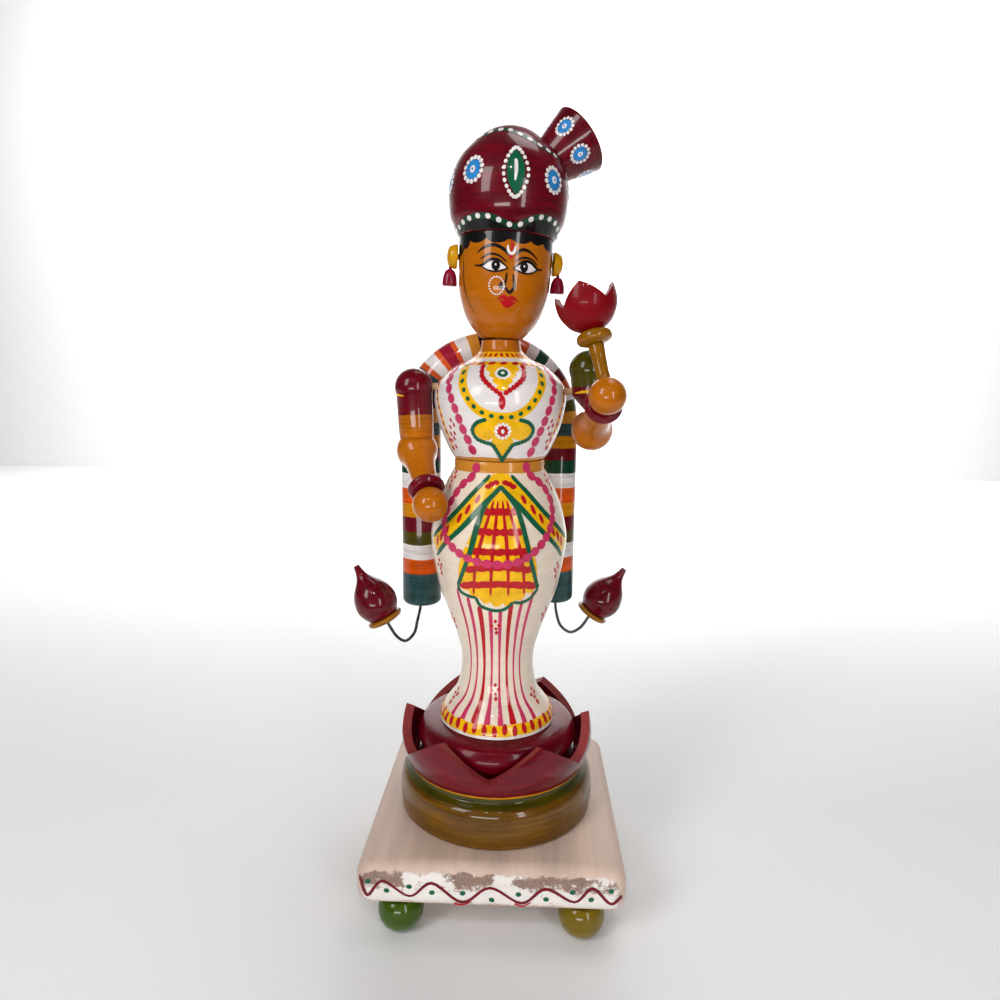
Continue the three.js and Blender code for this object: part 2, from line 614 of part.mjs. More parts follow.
// Ears, each turned with its own peg, and bell earrings that hang from them.
const earOutline = [
  [0, earFaceAt - EAR_PEG_DEPTH],
  [EAR_PEG_RADIUS, earFaceAt - EAR_PEG_DEPTH],
  [EAR_PEG_RADIUS, earFaceAt],
  [EAR_RADIUS - 0.4, earFaceAt],
  ...curve([
    [EAR_RADIUS, earFaceAt + 0.8],
    [EAR_RADIUS * 0.72, earFaceAt + EAR_DOME * 0.8],
    [0, earFaceAt + EAR_DOME],
  ], 4),
];
const earringX = HEAD_RADIUS - 0.2 + GAP + EARRING_RADIUS;
const EARRING_TOP = EAR_HEIGHT - EARRING_DROP;
const earringOutline = [
  [0, EARRING_TOP - EARRING_HEIGHT],
  [EARRING_RADIUS - 0.5, EARRING_TOP - EARRING_HEIGHT],
  ...curve([
    [EARRING_RADIUS, EARRING_TOP - EARRING_HEIGHT + 0.7],
    [EARRING_RADIUS * 0.86, EARRING_TOP - EARRING_HEIGHT * 0.45],
    [EARRING_RADIUS * 0.45, EARRING_TOP - 0.8],
    [EARRING_PEG_RADIUS, EARRING_TOP],
  ], 5),
  [EARRING_PEG_RADIUS, EARRING_TOP + EARRING_PEG_DEPTH],
  [0, EARRING_TOP + EARRING_PEG_DEPTH],
];
const earringSocket = rod(EARRING_PEG_RADIUS + GAP, EARRING_TOP - 1, EARRING_TOP + EARRING_PEG_DEPTH + GAP, 10);
for (const [name, side] of EARS) {
  const hang = { position: [side * earringX, 0, 0] };
  const ear = placed(turned(earOutline, 10), earPlace(side));
  piece(`ear_${name}`, YELLOW, cut(ear, placed(earringSocket, hang)), head);
  piece(`earring_${name}`, MAROON, placed(turned(earringOutline, 10), hang), head);
}

// ---- scarf -----------------------------------------------------------------------------------------------------
const scarf = group(figure, [...SCARF_MIDDLE, 0]);
scarf.rotation.z = degrees(SCARF_YAW);

const scarfSection = new THREE.Shape().absarc(0, 0, SCARF_RADIUS, 0, 2 * Math.PI);
class HalfHoop extends THREE.Curve {
  getPoint(share) {
    const angle = Math.PI * share;
    return new THREE.Vector3(
      SCARF_HALF_SPAN * Math.cos(angle), 0, SCARF_SPRING + SCARF_HALF_SPAN * Math.sin(angle));
  }
}
const hoop = solid(new THREE.ExtrudeGeometry(scarfSection, {
  steps: 18, curveSegments: 8, extrudePath: new HalfHoop(),
}));
const SCARF_ENDS = [['right', -1], ['left', 1]];
const scarfPegSocket = rod(SCARF_PEG_RADIUS + GAP,
  SCARF_SPRING - GAP - SCARF_PEG_DEPTH - SLACK, SCARF_SPRING + SCARF_PEG_DEPTH + SLACK, 8);
const atScarfEnd = (side) => ({ position: [side * SCARF_HALF_SPAN, 0, 0] });
const scarfTurn = new THREE.Quaternion().setFromAxisAngle(new THREE.Vector3(0, 0, 1), degrees(-SCARF_YAW));
const backSocketInScarf = placed(
  placed(backSocket, { position: [-SCARF_MIDDLE[0], -SCARF_MIDDLE[1], 0] }), { quaternion: scarfTurn });
piece('scarf_arch', TEAL, cut(hoop, backSocketInScarf,
  ...SCARF_ENDS.map(([, side]) => placed(scarfPegSocket, atScarfEnd(side)))), scarf);

const tipCentre = SCARF_END + SCARF_TIP_ROUND;
const scarfEndOutline = [
  [0, SCARF_END],
  ...arc(SCARF_TIP_ROUND, tipCentre, -90, 0, 3).map(([r, z]) => [r + SCARF_RADIUS - SCARF_TIP_ROUND, z]),
  [SCARF_RADIUS, SCARF_SPRING - GAP],
  [0, SCARF_SPRING - GAP],
];
for (const [name, side] of SCARF_ENDS) {
  const wireHole = placed(rod(WIRE_RADIUS + GAP, SCARF_END - 1, SCARF_END + WIRE_IN_SCARF + SLACK, 10),
    { position: [side * WIRE_EXIT_OFFSET, 0, 0] });
  const end = group(scarf, [side * SCARF_HALF_SPAN, 0, 0]);
  piece(`scarf_end_${name}`, TEAL, cut(turned(scarfEndOutline, 14), scarfPegSocket, wireHole), end);
  piece(`scarf_peg_${name}`, BARE_WOOD,
    rod(SCARF_PEG_RADIUS, SCARF_SPRING - GAP - SCARF_PEG_DEPTH, SCARF_SPRING + SCARF_PEG_DEPTH, 8), end);
}
const backPeg = group(figure, backPegPlace.position);
backPeg.quaternion.copy(backPegPlace.quaternion);
piece('scarf_back_peg', BARE_WOOD, rod(BACK_PEG_RADIUS, BACK_PEG_START, BACK_PEG_END, 8), backPeg);

// ---- buds on bent wires ------------------------------------------------------------------------------------------
const wireSection = new THREE.Shape(Array.from({ length: 8 }, (_, i) => {
  const angle = (i * Math.PI) / 4;
  return new THREE.Vector2(WIRE_RADIUS * Math.cos(angle), WIRE_RADIUS * Math.sin(angle));
}));
const calyxOutline = [
  [0, 0],
  ...curve([
    [WIRE_RADIUS + 1.2, 0],
    [CALYX_RADIUS * 0.85, CALYX_HEIGHT * 0.3],
    [CALYX_RADIUS, CALYX_HEIGHT * 0.75],
    [CALYX_RADIUS * 0.92, CALYX_HEIGHT],
  ], 5),
  [0, CALYX_HEIGHT],
];
const BUD_BOTTOM = CALYX_HEIGHT + GAP;
const budOutline = [
  [0, BUD_BOTTOM],
  ...curve([
    [BUD_RADIUS * 0.72, BUD_BOTTOM],
    [BUD_RADIUS * 0.95, BUD_BOTTOM + BUD_HEIGHT * 0.16],
    [BUD_RADIUS, BUD_BOTTOM + BUD_HEIGHT * 0.32],
    [BUD_RADIUS * 0.8, BUD_BOTTOM + BUD_HEIGHT * 0.54],
    [BUD_RADIUS * 0.3, BUD_BOTTOM + BUD_HEIGHT * 0.78],
    [BUD_RADIUS * 0.13, BUD_BOTTOM + BUD_HEIGHT],
  ], 10),
  [0, BUD_BOTTOM + BUD_HEIGHT],
];
const budBore = rod(WIRE_RADIUS + GAP, -1, BUD_BOTTOM + WIRE_IN_BUD + SLACK, 10);
for (const [name, side] of SCARF_ENDS) {
  const { base, lean: budLean, bends } = BUDS[name];
  const yaw = degrees(SCARF_YAW);
  const out = side * (SCARF_HALF_SPAN + WIRE_EXIT_OFFSET);
  const exit = new THREE.Vector3(
    SCARF_MIDDLE[0] + out * Math.cos(yaw), SCARF_MIDDLE[1] + out * Math.sin(yaw), SCARF_END);
  const fromExit = (offset) => new THREE.Vector3(...offset).add(exit);
  const budAxis = new THREE.Vector3(side * Math.sin(degrees(budLean)), 0, Math.cos(degrees(budLean)));
  const baseAt = fromExit(base);
  const route = [
    ...[WIRE_IN_SCARF, 0, -3].map((up) => fromExit([0, 0, up])),
    ...bends.map(fromExit),
    ...[-1.2, 1.2, CALYX_HEIGHT, BUD_BOTTOM + WIRE_IN_BUD].map((along) =>
      baseAt.clone().addScaledVector(budAxis, along)),
  ];
  const path = new THREE.CatmullRomCurve3(route, false, 'centripetal');
  piece(`bud_wire_${name}`, STEEL,
    solid(new THREE.ExtrudeGeometry(wireSection, { steps: 24, extrudePath: path })), figure);
  const bud = group(figure, baseAt.toArray());
  bud.quaternion.copy(alongAxis(budAxis.toArray()));
  piece(`bud_calyx_${name}`, YELLOW, cut(turned(calyxOutline, 10), budBore), bud);
  piece(`bud_${name}`, MAROON, cut(turned(budOutline, 12), budBore), bud);
}

// ---- arms ----------------------------------------------------------------------------------------------------------
// Both arms have the same parts; only lengths and reach differ. Heights are from the shoulder's middle.
function forearmOutline(length) {
  return [
    ...arc(ELBOW_RADIUS, 0, -90, 24, 7),
    ...curve([
      [ELBOW_RADIUS * 0.8, 5.8],
      [WRIST_RADIUS + 1.2, 9.6],
      [WRIST_RADIUS + 0.5, length * 0.7],
      [WRIST_RADIUS, length - GAP],
    ], 5),
    [0, length - GAP],
  ];
}
const bangleOutline = [
  [0, 0],
  ...curve([
    [BANGLE_RADIUS - 1.6, 0],
    [BANGLE_RADIUS, BANGLE_WIDTH / 2],
    [BANGLE_RADIUS - 1.6, BANGLE_WIDTH],
  ], 4),
  [0, BANGLE_WIDTH],
];
const handBack = Math.acos((HAND_PAST_BANGLE - BANGLE_WIDTH - GAP) / HAND_RADIUS);
const handOutline = [
  [0, -HAND_RADIUS * Math.cos(handBack)],
  ...arc(HAND_RADIUS, 0, THREE.MathUtils.radToDeg(handBack) - 90, 90, 8),
];

for (const [name, arm] of Object.entries(ARMS)) {
  const elbowAt = -arm.upperLength;
  const cup = ELBOW_RADIUS + GAP;
  const cupEdge = Math.sqrt(cup ** 2 - arm.cupRim ** 2);
  const cupAngle = THREE.MathUtils.radToDeg(Math.asin(cupEdge / cup));
  const upperOutline = [
    ...arc(cup, elbowAt, 90, cupAngle, 4),
    [arm.cupRim + 0.2, elbowAt + cupEdge],
    [ARM_RADIUS, elbowAt + cupEdge + ELBOW_CUP_TAPER],
    ...arc(SHOULDER_RADIUS, arm.dome, -20, 90, 6),
  ];
  const frame = shoulderFrame(arm);
  const place = group(figure, frame.position);
  place.quaternion.copy(frame.quaternion);
  const pinHole = rod(ARM_PEG_RADIUS + GAP, elbowAt - ELBOW_PIN_DOWN - SLACK,
    elbowAt + cup + ELBOW_PIN_UP + SLACK, 8);
  piece(`upper_arm_${name}`, MAROON,
    cut(turned(upperOutline, 14), shoulderRod(arm, ARM_PEG_RADIUS + GAP, SLACK), pinHole), place);
  piece(`shoulder_peg_${name}`, BARE_WOOD, shoulderRod(arm, ARM_PEG_RADIUS, 0), place);
  piece(`elbow_pin_${name}`, STEEL, rod(ARM_PEG_RADIUS, elbowAt - ELBOW_PIN_DOWN,
    elbowAt + cup + ELBOW_PIN_UP, 8), place);

  const reach = alongAxis(arm.reach);
  const elbow = group(place, [0, 0, elbowAt]);
  const inElbow = placed(placed(pinHole, { position: [0, 0, -elbowAt] }), { quaternion: reach.clone().invert() });
  const forearm = group(elbow);
  forearm.quaternion.copy(reach);
  const bangleAt = arm.handAway - HAND_PAST_BANGLE;
  const handStart = bangleAt + BANGLE_WIDTH + GAP;
  const wristBore = rod(ARM_PEG_RADIUS + GAP, bangleAt - WRIST_PEG_DEPTH - SLACK,
    handStart + WRIST_PEG_DEPTH + SLACK, 8);
  piece(`forearm_${name}`, FLESH, cut(turned(forearmOutline(bangleAt), 14), inElbow, wristBore), forearm);
  const bangle = placed(turned(bangleOutline, 14), { position: [0, 0, bangleAt] });
  piece(`bangle_${name}`, MAROON, cut(bangle, wristBore), forearm);
  piece(`wrist_peg_${name}`, BARE_WOOD,
    rod(ARM_PEG_RADIUS, bangleAt - WRIST_PEG_DEPTH, handStart + WRIST_PEG_DEPTH, 8), forearm);
  const hand = placed(turned(handOutline, 14), { position: [0, 0, arm.handAway] });
  if (name === 'right') {
    piece('hand_right', FLESH, cut(hand, wristBore), forearm);
    continue;
  }

  // The left hand holds the lotus: its stem, a ring and the cut flower share one leaning axis.
  const lotus = group(forearm, [0, 0, arm.handAway]);
  const worldReach = frame.quaternion.clone().multiply(reach);
  const lotusTurn = worldReach.invert().multiply(alongAxis(LOTUS_AXIS));
  lotus.quaternion.copy(lotusTurn);
  const stemHole = placed(rod(STEM_RADIUS + GAP, STEM_IN_HAND - SLACK, HAND_RADIUS + 4, 12),
    { position: [0, 0, arm.handAway], quaternion: lotusTurn });
  piece('hand_left', FLESH, cut(hand, wristBore, stemHole), forearm);
  const ringBottom = STEM_TOP + GAP;
  const flowerBottom = ringBottom + RING_HEIGHT + GAP;
  const flowerTop = flowerBottom + FLOWER_HEIGHT;
  const stem = turned([
    [0, STEM_IN_HAND],
    [STEM_RADIUS, STEM_IN_HAND],
    [STEM_RADIUS - 0.3, HAND_RADIUS + 2],
    [STEM_RADIUS + 0.4, STEM_TOP],
    [RING_BORE - GAP, STEM_TOP],
    [RING_BORE - GAP, flowerBottom + FLOWER_WALL],
    [0, flowerBottom + FLOWER_WALL],
  ], 16);
  piece('lotus_stem', OLIVE, stem, lotus);
  const ring = turned([
    [0, ringBottom],
    ...curve([
      [RING_RADIUS - 2.6, ringBottom],
      [RING_RADIUS - 0.5, ringBottom + RING_HEIGHT * 0.2],
      [RING_RADIUS, ringBottom + RING_HEIGHT * 0.5],
      [RING_RADIUS - 0.5, ringBottom + RING_HEIGHT * 0.8],
      [RING_RADIUS - 2.6, ringBottom + RING_HEIGHT],
    ], 6),
    [0, ringBottom + RING_HEIGHT],
  ], 16);
  const tenonHole = rod(RING_BORE, ringBottom - 1, flowerBottom + FLOWER_WALL + SLACK, 8);
  piece('lotus_ring', OLIVE, cut(ring, tenonHole), lotus);
  const flowerFloor = flowerBottom + 4;
  const flower = turned([
    [0, flowerBottom],
    ...curve([
      [RING_RADIUS - 3, flowerBottom],
      [FLOWER_RADIUS - 4, flowerBottom + FLOWER_HEIGHT * 0.14],
      [FLOWER_RADIUS - 0.8, flowerBottom + FLOWER_HEIGHT * 0.4],
      [FLOWER_RADIUS, flowerBottom + FLOWER_HEIGHT * 0.66],
      [FLOWER_RADIUS - 0.8, flowerTop],
    ], 7),
    ...curve([
      [FLOWER_RADIUS - 0.8 - FLOWER_WALL, flowerTop],
      [FLOWER_RADIUS - FLOWER_WALL, flowerBottom + FLOWER_HEIGHT * 0.66],
      [FLOWER_RADIUS - 1.2 - FLOWER_WALL, flowerBottom + FLOWER_HEIGHT * 0.42],
      [FLOWER_RADIUS * 0.3, flowerFloor],
    ], 6),
    [0, flowerFloor],
  ], 20);
  const flowerNotches = notches(FLOWER_PETALS, 45 + FLOWER_TURN, flowerTop, FLOWER_CUT, FLOWER_RADIUS * 0.92);
  piece('hand_lotus', MAROON, cut(flower, tenonHole, ...flowerNotches), lotus);
}

export default doll;
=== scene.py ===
"""Looks of a turned, lacquered and painted wooden doll on a lotus pedestal.

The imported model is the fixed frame. Each turned piece is drawn as half an outline and spun round its
own axis, petals are cut into it, and the painted work is laid on it as a thin film of paint.
Outlines are in millimetres, as [radius, height] points; every finished mesh is in metres.
Angles on a turned piece are in degrees from the front, positive towards the doll's left.
"""

import json
import math

import bpy
from bpy.props import FloatProperty, FloatVectorProperty, IntProperty, PointerProperty
from mathutils import Matrix, Vector


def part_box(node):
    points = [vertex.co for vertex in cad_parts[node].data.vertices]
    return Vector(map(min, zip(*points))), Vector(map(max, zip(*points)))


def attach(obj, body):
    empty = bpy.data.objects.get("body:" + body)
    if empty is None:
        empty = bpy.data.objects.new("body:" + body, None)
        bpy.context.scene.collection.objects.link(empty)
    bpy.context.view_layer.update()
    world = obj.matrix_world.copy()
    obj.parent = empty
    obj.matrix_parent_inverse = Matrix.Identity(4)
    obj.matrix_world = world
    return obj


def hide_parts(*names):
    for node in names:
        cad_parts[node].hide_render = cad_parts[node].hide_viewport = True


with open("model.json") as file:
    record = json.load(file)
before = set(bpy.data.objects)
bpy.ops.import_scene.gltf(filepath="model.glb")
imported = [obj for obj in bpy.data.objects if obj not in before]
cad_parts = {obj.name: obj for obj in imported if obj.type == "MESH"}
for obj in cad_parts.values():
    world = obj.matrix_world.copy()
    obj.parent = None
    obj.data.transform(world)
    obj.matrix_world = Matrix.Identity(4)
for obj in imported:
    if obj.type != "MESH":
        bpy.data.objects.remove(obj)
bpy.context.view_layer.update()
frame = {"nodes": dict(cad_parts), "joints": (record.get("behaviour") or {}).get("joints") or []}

bl_info = {
    "name": "Turned wooden doll",
    "version": (1, 0, 0),
    "blender": (4, 5, 0),
    "location": "3D View > Sidebar > Doll",
    "description": "Models and paints a lacquered wooden doll round its packed frame",
    "category": "Object",
}

MM = 0.001
UP = Vector((0, 0, 1))

# ---- where the frame puts things ------------------------------------------------------------------
JOINTS = {joint["name"]: joint for joint in frame["joints"]}
PLANK_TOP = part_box("base_plank")[1].z
AXIS = (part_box("skirt")[0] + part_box("skirt")[1]) / 2
FIGURE = Matrix.Translation((AXIS.x, AXIS.y, PLANK_TOP))

# ---- sizes in millimetres and degrees, as the frame has them -----------------------------------------
HEAD_TURN = 10
HEAD_RADIUS = 20.6
HEAD_TOP = 42.8
TURBAN_RADIUS = 26.1
TURBAN_BOTTOM = 43.1
TURBAN_HEIGHT = 46.2
KNOB_RISE = 41
KNOB_SWEEP = 5
KNOB_SEAT = 17
KNOB_AT = 76.3
KNOB_LENGTH = 18
KNOB_NARROW = 9.7
KNOB_WIDE = 15.2
KNOB_FLOWER_TURN = 29
NECK_RADIUS = 8.6
EAR_HEIGHT = 34.5
WAIST_RADIUS = 20.6
HIP_RADIUS = 31.4
KNEE_RADIUS = 17
HEM_RADIUS = 27.4
WAIST_BAND = 5
CHEST_RADIUS = 29.7
SCARF_RADIUS = 9.75
SCARF_HALF_SPAN = 34
SCARF_MIDDLE = (-6, 28.2)
SCARF_YAW = 8.5
BUD_LEAN = {"right": 28, "left": 34}
BUD_RADIUS = 9.9
BUD_HEIGHT = 27.4
CALYX_RADIUS = 8.6
CALYX_HEIGHT = 3.6
ARMS = {
    "right": {"side": -1, "splay": -2.5, "dome": 0, "upper": 28.8, "rim": 7.6,
              "reach": (8.4, -25, -21.1), "hand": 34},
    "left": {"side": 1, "splay": 5, "dome": 9.1, "upper": 18, "rim": 2.8,
             "reach": (4, -35, 15.4), "hand": 38.4},
}
ARM_RADIUS = 8
SHOULDER_RADIUS = 8.7
ELBOW_RADIUS = 9.4
HAND_RADIUS = 7.7
BANGLE_RADIUS = 8.2
BANGLE_WIDTH = 4.6
BANGLE_BEHIND_HAND = 12
LOTUS_AXIS = (-0.227, 0.21, 0.951)
PLANK_CORNER = 7
PLANK_EASE = 0.9
BALL_RADIUS = 10
BALL_FLAT = 4
WIRE_RADIUS = 0.75
GAP = 0.3

# ---- how finely the shapes and paint are made, in millimetres and degrees unless it says metres ------
MERGE_METRES = 2e-6
WIRE_MERGE_METRES = 1e-6
SHORTEST_EDGE_METRES = 1e-6
TURNED_SMOOTH = 35
EASED_SMOOTH = 40
FILM_DEPTH = 0.3
FILM_COLUMN = 2.2
STRAIGHT_STEP = 1.5
LINE_STEPS = 12

# ---- the camera: metres and degrees --------------------------------------------------------------------
CAMERA_AT = (12.33 * MM, -326.33 * MM, 235.19 * MM)
CAMERA_DOWN = 9.143
CAMERA_HEADING = -2.118
CAMERA_ROLL = 0.631


def srgb(code):
    """A linear colour from a six-digit hexadecimal one."""
    parts = [((code >> shift) & 255) / 255 for shift in (16, 8, 0)]
    return tuple(p / 12.92 if p <= 0.04045 else ((p + 0.055) / 1.055) ** 2.4 for p in parts)


def colour_property(name, code):
    return FloatVectorProperty(
        name=name, description=f"Colour of the {name.lower()}", subtype="COLOR",
        size=3, min=0, max=1, default=srgb(code))


class DollColours(bpy.types.PropertyGroup):
    """Colours of the lacquers and paints."""
    maroon: colour_property("Maroon lacquer", 0x6C0418)
    dull_red: colour_property("Cut petal faces", 0x8E2A2C)
    flesh: colour_property("Flesh lacquer", 0xBC680A)
    ochre: colour_property("Ochre bands", 0xD08A30)
    olive: colour_property("Olive lacquer", 0x6C4604)
    # Moss is a real scarf band colour, and also painted shade in the plinth's neck and on the left shoulder
    # dome.
    leaf: colour_property("Leaf green lacquer", 0x3C5604)
    moss: colour_property("Moss lacquer", 0x4A4406)
    cream: colour_property("Cream ground", 0xF0DECA)
    white: colour_property("White paint", 0xEDE6E4)
    yellow: colour_property("Yellow paint", 0xF2B705)
    green: colour_property("Green paint", 0x0B5A3C)
    red: colour_property("Red paint", 0xB80F1C)
    rose: colour_property("Rose paint", 0xC63560)
    black: colour_property("Black paint", 0x0C0A0C)
    blue: colour_property("Blue paint", 0x2C86CC)
    orange: colour_property("Orange bands", 0xDC5A22)
    teal: colour_property("Teal bands", 0x2F4F50)
    forest: colour_property("Dark green bands", 0x123E26)
    crimson: colour_property("Crimson bands", 0x9C1230)
    wood: colour_property("Plank wood", 0xD6BBAA)
    bare: colour_property("Bare wood", 0xCFA474)
    lime: colour_property("Limewash", 0xE9E2DD)
    soil: colour_property("Wear on the plank", 0x6B4A38)
    gold: colour_property("Golden olive lacquer", 0x9A6408)
    moss_gold: colour_property("Mossy gold lacquer", 0x766204)
    yellow_lacquer: colour_property("Yellow lacquer", 0xD99A08)
    earring: colour_property("Earring lacquer", 0x8A0C2E)
    lotus: colour_property("Held lotus", 0x84161E)


class DollSizes(bpy.types.PropertyGroup):
    """Sizes of the visible finish."""
    sides: IntProperty(
        name="Turned sides", description="Sides round a large turned piece", default=144, min=24)
    film: FloatProperty(
        name="Paint film", description="Thickness of one layer of paint", unit="LENGTH",
        default=0.1 * MM, min=0.01 * MM, precision=5)
    edge: FloatProperty(
        name="Softened edge", description="Width of a turned edge's rounding", unit="LENGTH",
        default=0.35 * MM, min=0, precision=5)
    lens: FloatProperty(
        name="Lens", description="Focal length of the camera", unit="CAMERA", default=25.47)
    soft_light: FloatProperty(
        name="Soft light", description="Power of the large key light", unit="POWER", default=4.8)


def colours():
    return bpy.context.scene.doll_colours


def sizes():
    return bpy.context.scene.doll_sizes


# ---- node materials ------------------------------------------------------------------------------------
class Finish:
    """A node material in a piece's own turned frame, with short ways to add and join its nodes."""

    def __init__(self, name, place):
        self.material = bpy.data.materials.new(name)
        self.material.use_nodes = True
        self.tree = self.material.node_tree
        self.shader = self.tree.nodes["Principled BSDF"]
        coordinates = self.add("ShaderNodeTexCoord")
        mapping = self.add("ShaderNodeMapping", vector_type="TEXTURE")
        mapping.inputs["Location"].default_value = place.to_translation()
        mapping.inputs["Rotation"].default_value = place.to_euler("XYZ")
        self.join(coordinates.outputs["Object"], mapping.inputs["Vector"])
        self.local = mapping.outputs["Vector"]
        self.parts = None

    def add(self, kind, **settings):
        node = self.tree.nodes.new(kind)
        for key, value in settings.items():
            setattr(node, key, value)
        return node

    def join(self, output, socket):
        self.tree.links.new(output, socket)

    def put(self, value, socket):
        if isinstance(value, bpy.types.NodeSocket):
            self.join(value, socket)
        else:
            socket.default_value = value

    def axis(self, letter):
        if self.parts is None:
            self.parts = self.add("ShaderNodeSeparateXYZ")
            self.join(self.local, self.parts.inputs[0])
        return self.parts.outputs[letter]

    def sum(self, operation, first, second=0.0, third=0.0):
        node = self.add("ShaderNodeMath", operation=operation)
        for value, socket in zip((first, second, third), node.inputs):
            self.put(value, socket)
        return node.outputs[0]

    def noise(self, scale, stretch=(1, 1, 1), detail=3.0, rough=0.55, seed=0.0):
        """Noise with features about 1/scale metres wide, drawn out where stretch is small."""
        mapping = self.add("ShaderNodeMapping")
        mapping.inputs["Scale"].default_value = stretch
        mapping.inputs["Location"].default_value = (seed, seed * 0.7, seed * 1.3)
        self.join(self.local, mapping.inputs["Vector"])
        node = self.add("ShaderNodeTexNoise")
        node.inputs["Scale"].default_value = scale
        node.inputs["Detail"].default_value = detail
        node.inputs["Roughness"].default_value = rough
        self.join(mapping.outputs["Vector"], node.inputs["Vector"])
        return node.outputs["Fac"]

    def spread(self, value, low, high, to_low, to_high):
        node = self.add("ShaderNodeMapRange")
        ends = {"From Min": low, "From Max": high, "To Min": to_low, "To Max": to_high}
        for key, number in ends.items():
            node.inputs[key].default_value = number
        self.join(value, node.inputs["Value"])
        return node.outputs["Result"]

    def mix(self, factor, first, second):
        node = self.add("ShaderNodeMix", data_type="RGBA")
        self.put(factor, node.inputs["Factor"])
        for socket, value in ((6, first), (7, second)):
            self.put(value, node.inputs[socket])
        return node.outputs[2]

    def bands(self, height, rows):
        """Constant bands of colour; rows are (lower edge, colour), the edge in the height's own unit."""
        low, high = rows[0][0], rows[-1][0] + 1
        share = self.spread(height, low, high, 0, 1)
        node = self.add("ShaderNodeValToRGB")
        ramp = node.color_ramp
        ramp.interpolation = "CONSTANT"
        while len(ramp.elements) < len(rows):
            ramp.elements.new(1)
        for element, (edge, colour) in zip(ramp.elements, rows):
            element.position = (edge - low) / (high - low)
            element.color = opaque(colour)
        self.join(share, node.inputs["Fac"])
        return node.outputs["Color"]

    def shade(self, colour, value, saturation=1.0):
        node = self.add("ShaderNodeHueSaturation")
        self.put(value, node.inputs["Value"])
        node.inputs["Saturation"].default_value = saturation
        self.put(colour, node.inputs["Color"])
        return node.outputs["Color"]

    def bump(self, height, strength, distance):
        node = self.add("ShaderNodeBump")
        node.inputs["Strength"].default_value = strength
        node.inputs["Distance"].default_value = distance
        self.join(height, node.inputs["Height"])
        self.join(node.outputs["Normal"], self.shader.inputs["Normal"])

    def gloss(self, coat, coat_roughness, specular=0.12):
        self.shader.inputs["Coat Weight"].default_value = coat
        self.shader.inputs["Coat Roughness"].default_value = coat_roughness
        self.shader.inputs["Specular IOR Level"].default_value = specular


def opaque(colour):
    return (*tuple(colour)[:3], 1)


def lacquer(name, place, rows, depth=0.35, rough=(0.24, 0.38), coat=0.5):
    """Stick lacquer, melted on in bands while the piece turns; rows are (lower edge in mm, colour)."""
    finish = Finish(name, place)
    height = finish.sum("MULTIPLY", finish.axis("Z"), 1000)
    wander = finish.spread(finish.noise(90, detail=2), 0.3, 0.7, -0.25, 0.25)
    colour = opaque(rows[0][1])
    if len(rows) > 1:
        colour = finish.bands(finish.sum("ADD", height, wander), rows)
    streaks = finish.noise(38, stretch=(1, 1, 22), detail=4, rough=0.6)
    clouds = finish.noise(55, detail=3, seed=3.1)
    tone = finish.sum(
        "MULTIPLY",
        finish.spread(streaks, 0.3, 0.7, 1 - depth, 1 + depth * 0.55),
        finish.spread(clouds, 0.3, 0.7, 1 - depth * 0.6, 1 + depth * 0.35))
    finish.join(finish.shade(colour, tone, 1.05), finish.shader.inputs["Base Color"])
    finish.join(finish.spread(clouds, 0.3, 0.7, *rough), finish.shader.inputs["Roughness"])
    grain = finish.noise(260, stretch=(1, 1, 9), detail=3, seed=7.7)
    finish.bump(finish.sum("ADD", grain, streaks), 0.12, 0.12 * MM)
    finish.gloss(coat, 0.05)
    return finish.material


def ground_paint(name, place, rows, ragged=0.5):
    """Brushed ground paint under varnish; rows are (lower edge in mm, colour)."""
    finish = Finish(name, place)
    height = finish.sum("MULTIPLY", finish.axis("Z"), 1000)
    wander = finish.spread(finish.noise(70, detail=4, rough=0.65), 0.25, 0.75, -ragged, ragged)
    colour = finish.bands(finish.sum("ADD", height, wander), rows)
    brushing = finish.noise(48, stretch=(1.2, 1.2, 9), detail=5, rough=0.62, seed=1.7)
    clouds = finish.noise(32, detail=3, seed=5.3)
    tone = finish.sum(
        "MULTIPLY",
        finish.spread(brushing, 0.3, 0.7, 0.93, 1.03),
        finish.spread(clouds, 0.3, 0.7, 0.9, 1.03))
    finish.join(finish.shade(colour, tone), finish.shader.inputs["Base Color"])
    finish.join(finish.spread(clouds, 0.3, 0.7, 0.22, 0.36), finish.shader.inputs["Roughness"])
    finish.bump(brushing, 0.25, 0.15 * MM)
    finish.gloss(0.45, 0.06)
    return finish.material


def brush_paint(name, colour, thin=0.16):
    """Enamel put on by brush, thinner and thicker in places."""
    finish = Finish(name, Matrix.Identity(4))
    load = finish.noise(240, detail=4, rough=0.6)
    tone = finish.spread(load, 0.3, 0.7, 1 - thin, 1 + thin)
    finish.join(finish.shade(opaque(colour), tone), finish.shader.inputs["Base Color"])
    finish.join(finish.spread(load, 0.3, 0.7, 0.24, 0.38), finish.shader.inputs["Roughness"])
    finish.bump(load, 0.2, 0.1 * MM)
    finish.gloss(0.5, 0.07)
    return finish.material


def cut_wood(name, colour):
    """A sawn face, dyed once and left dull."""
    finish = Finish(name, Matrix.Identity(4))
    saw = finish.noise(160, stretch=(1, 1, 5), detail=4, rough=0.6)
    finish.join(
        finish.shade(opaque(colour), finish.spread(saw, 0.3, 0.7, 0.78, 1.12)),
        finish.shader.inputs["Base Color"])
    finish.join(finish.spread(saw, 0.3, 0.7, 0.42, 0.6), finish.shader.inputs["Roughness"])
    finish.bump(saw, 0.3, 0.2 * MM)
    return finish.material


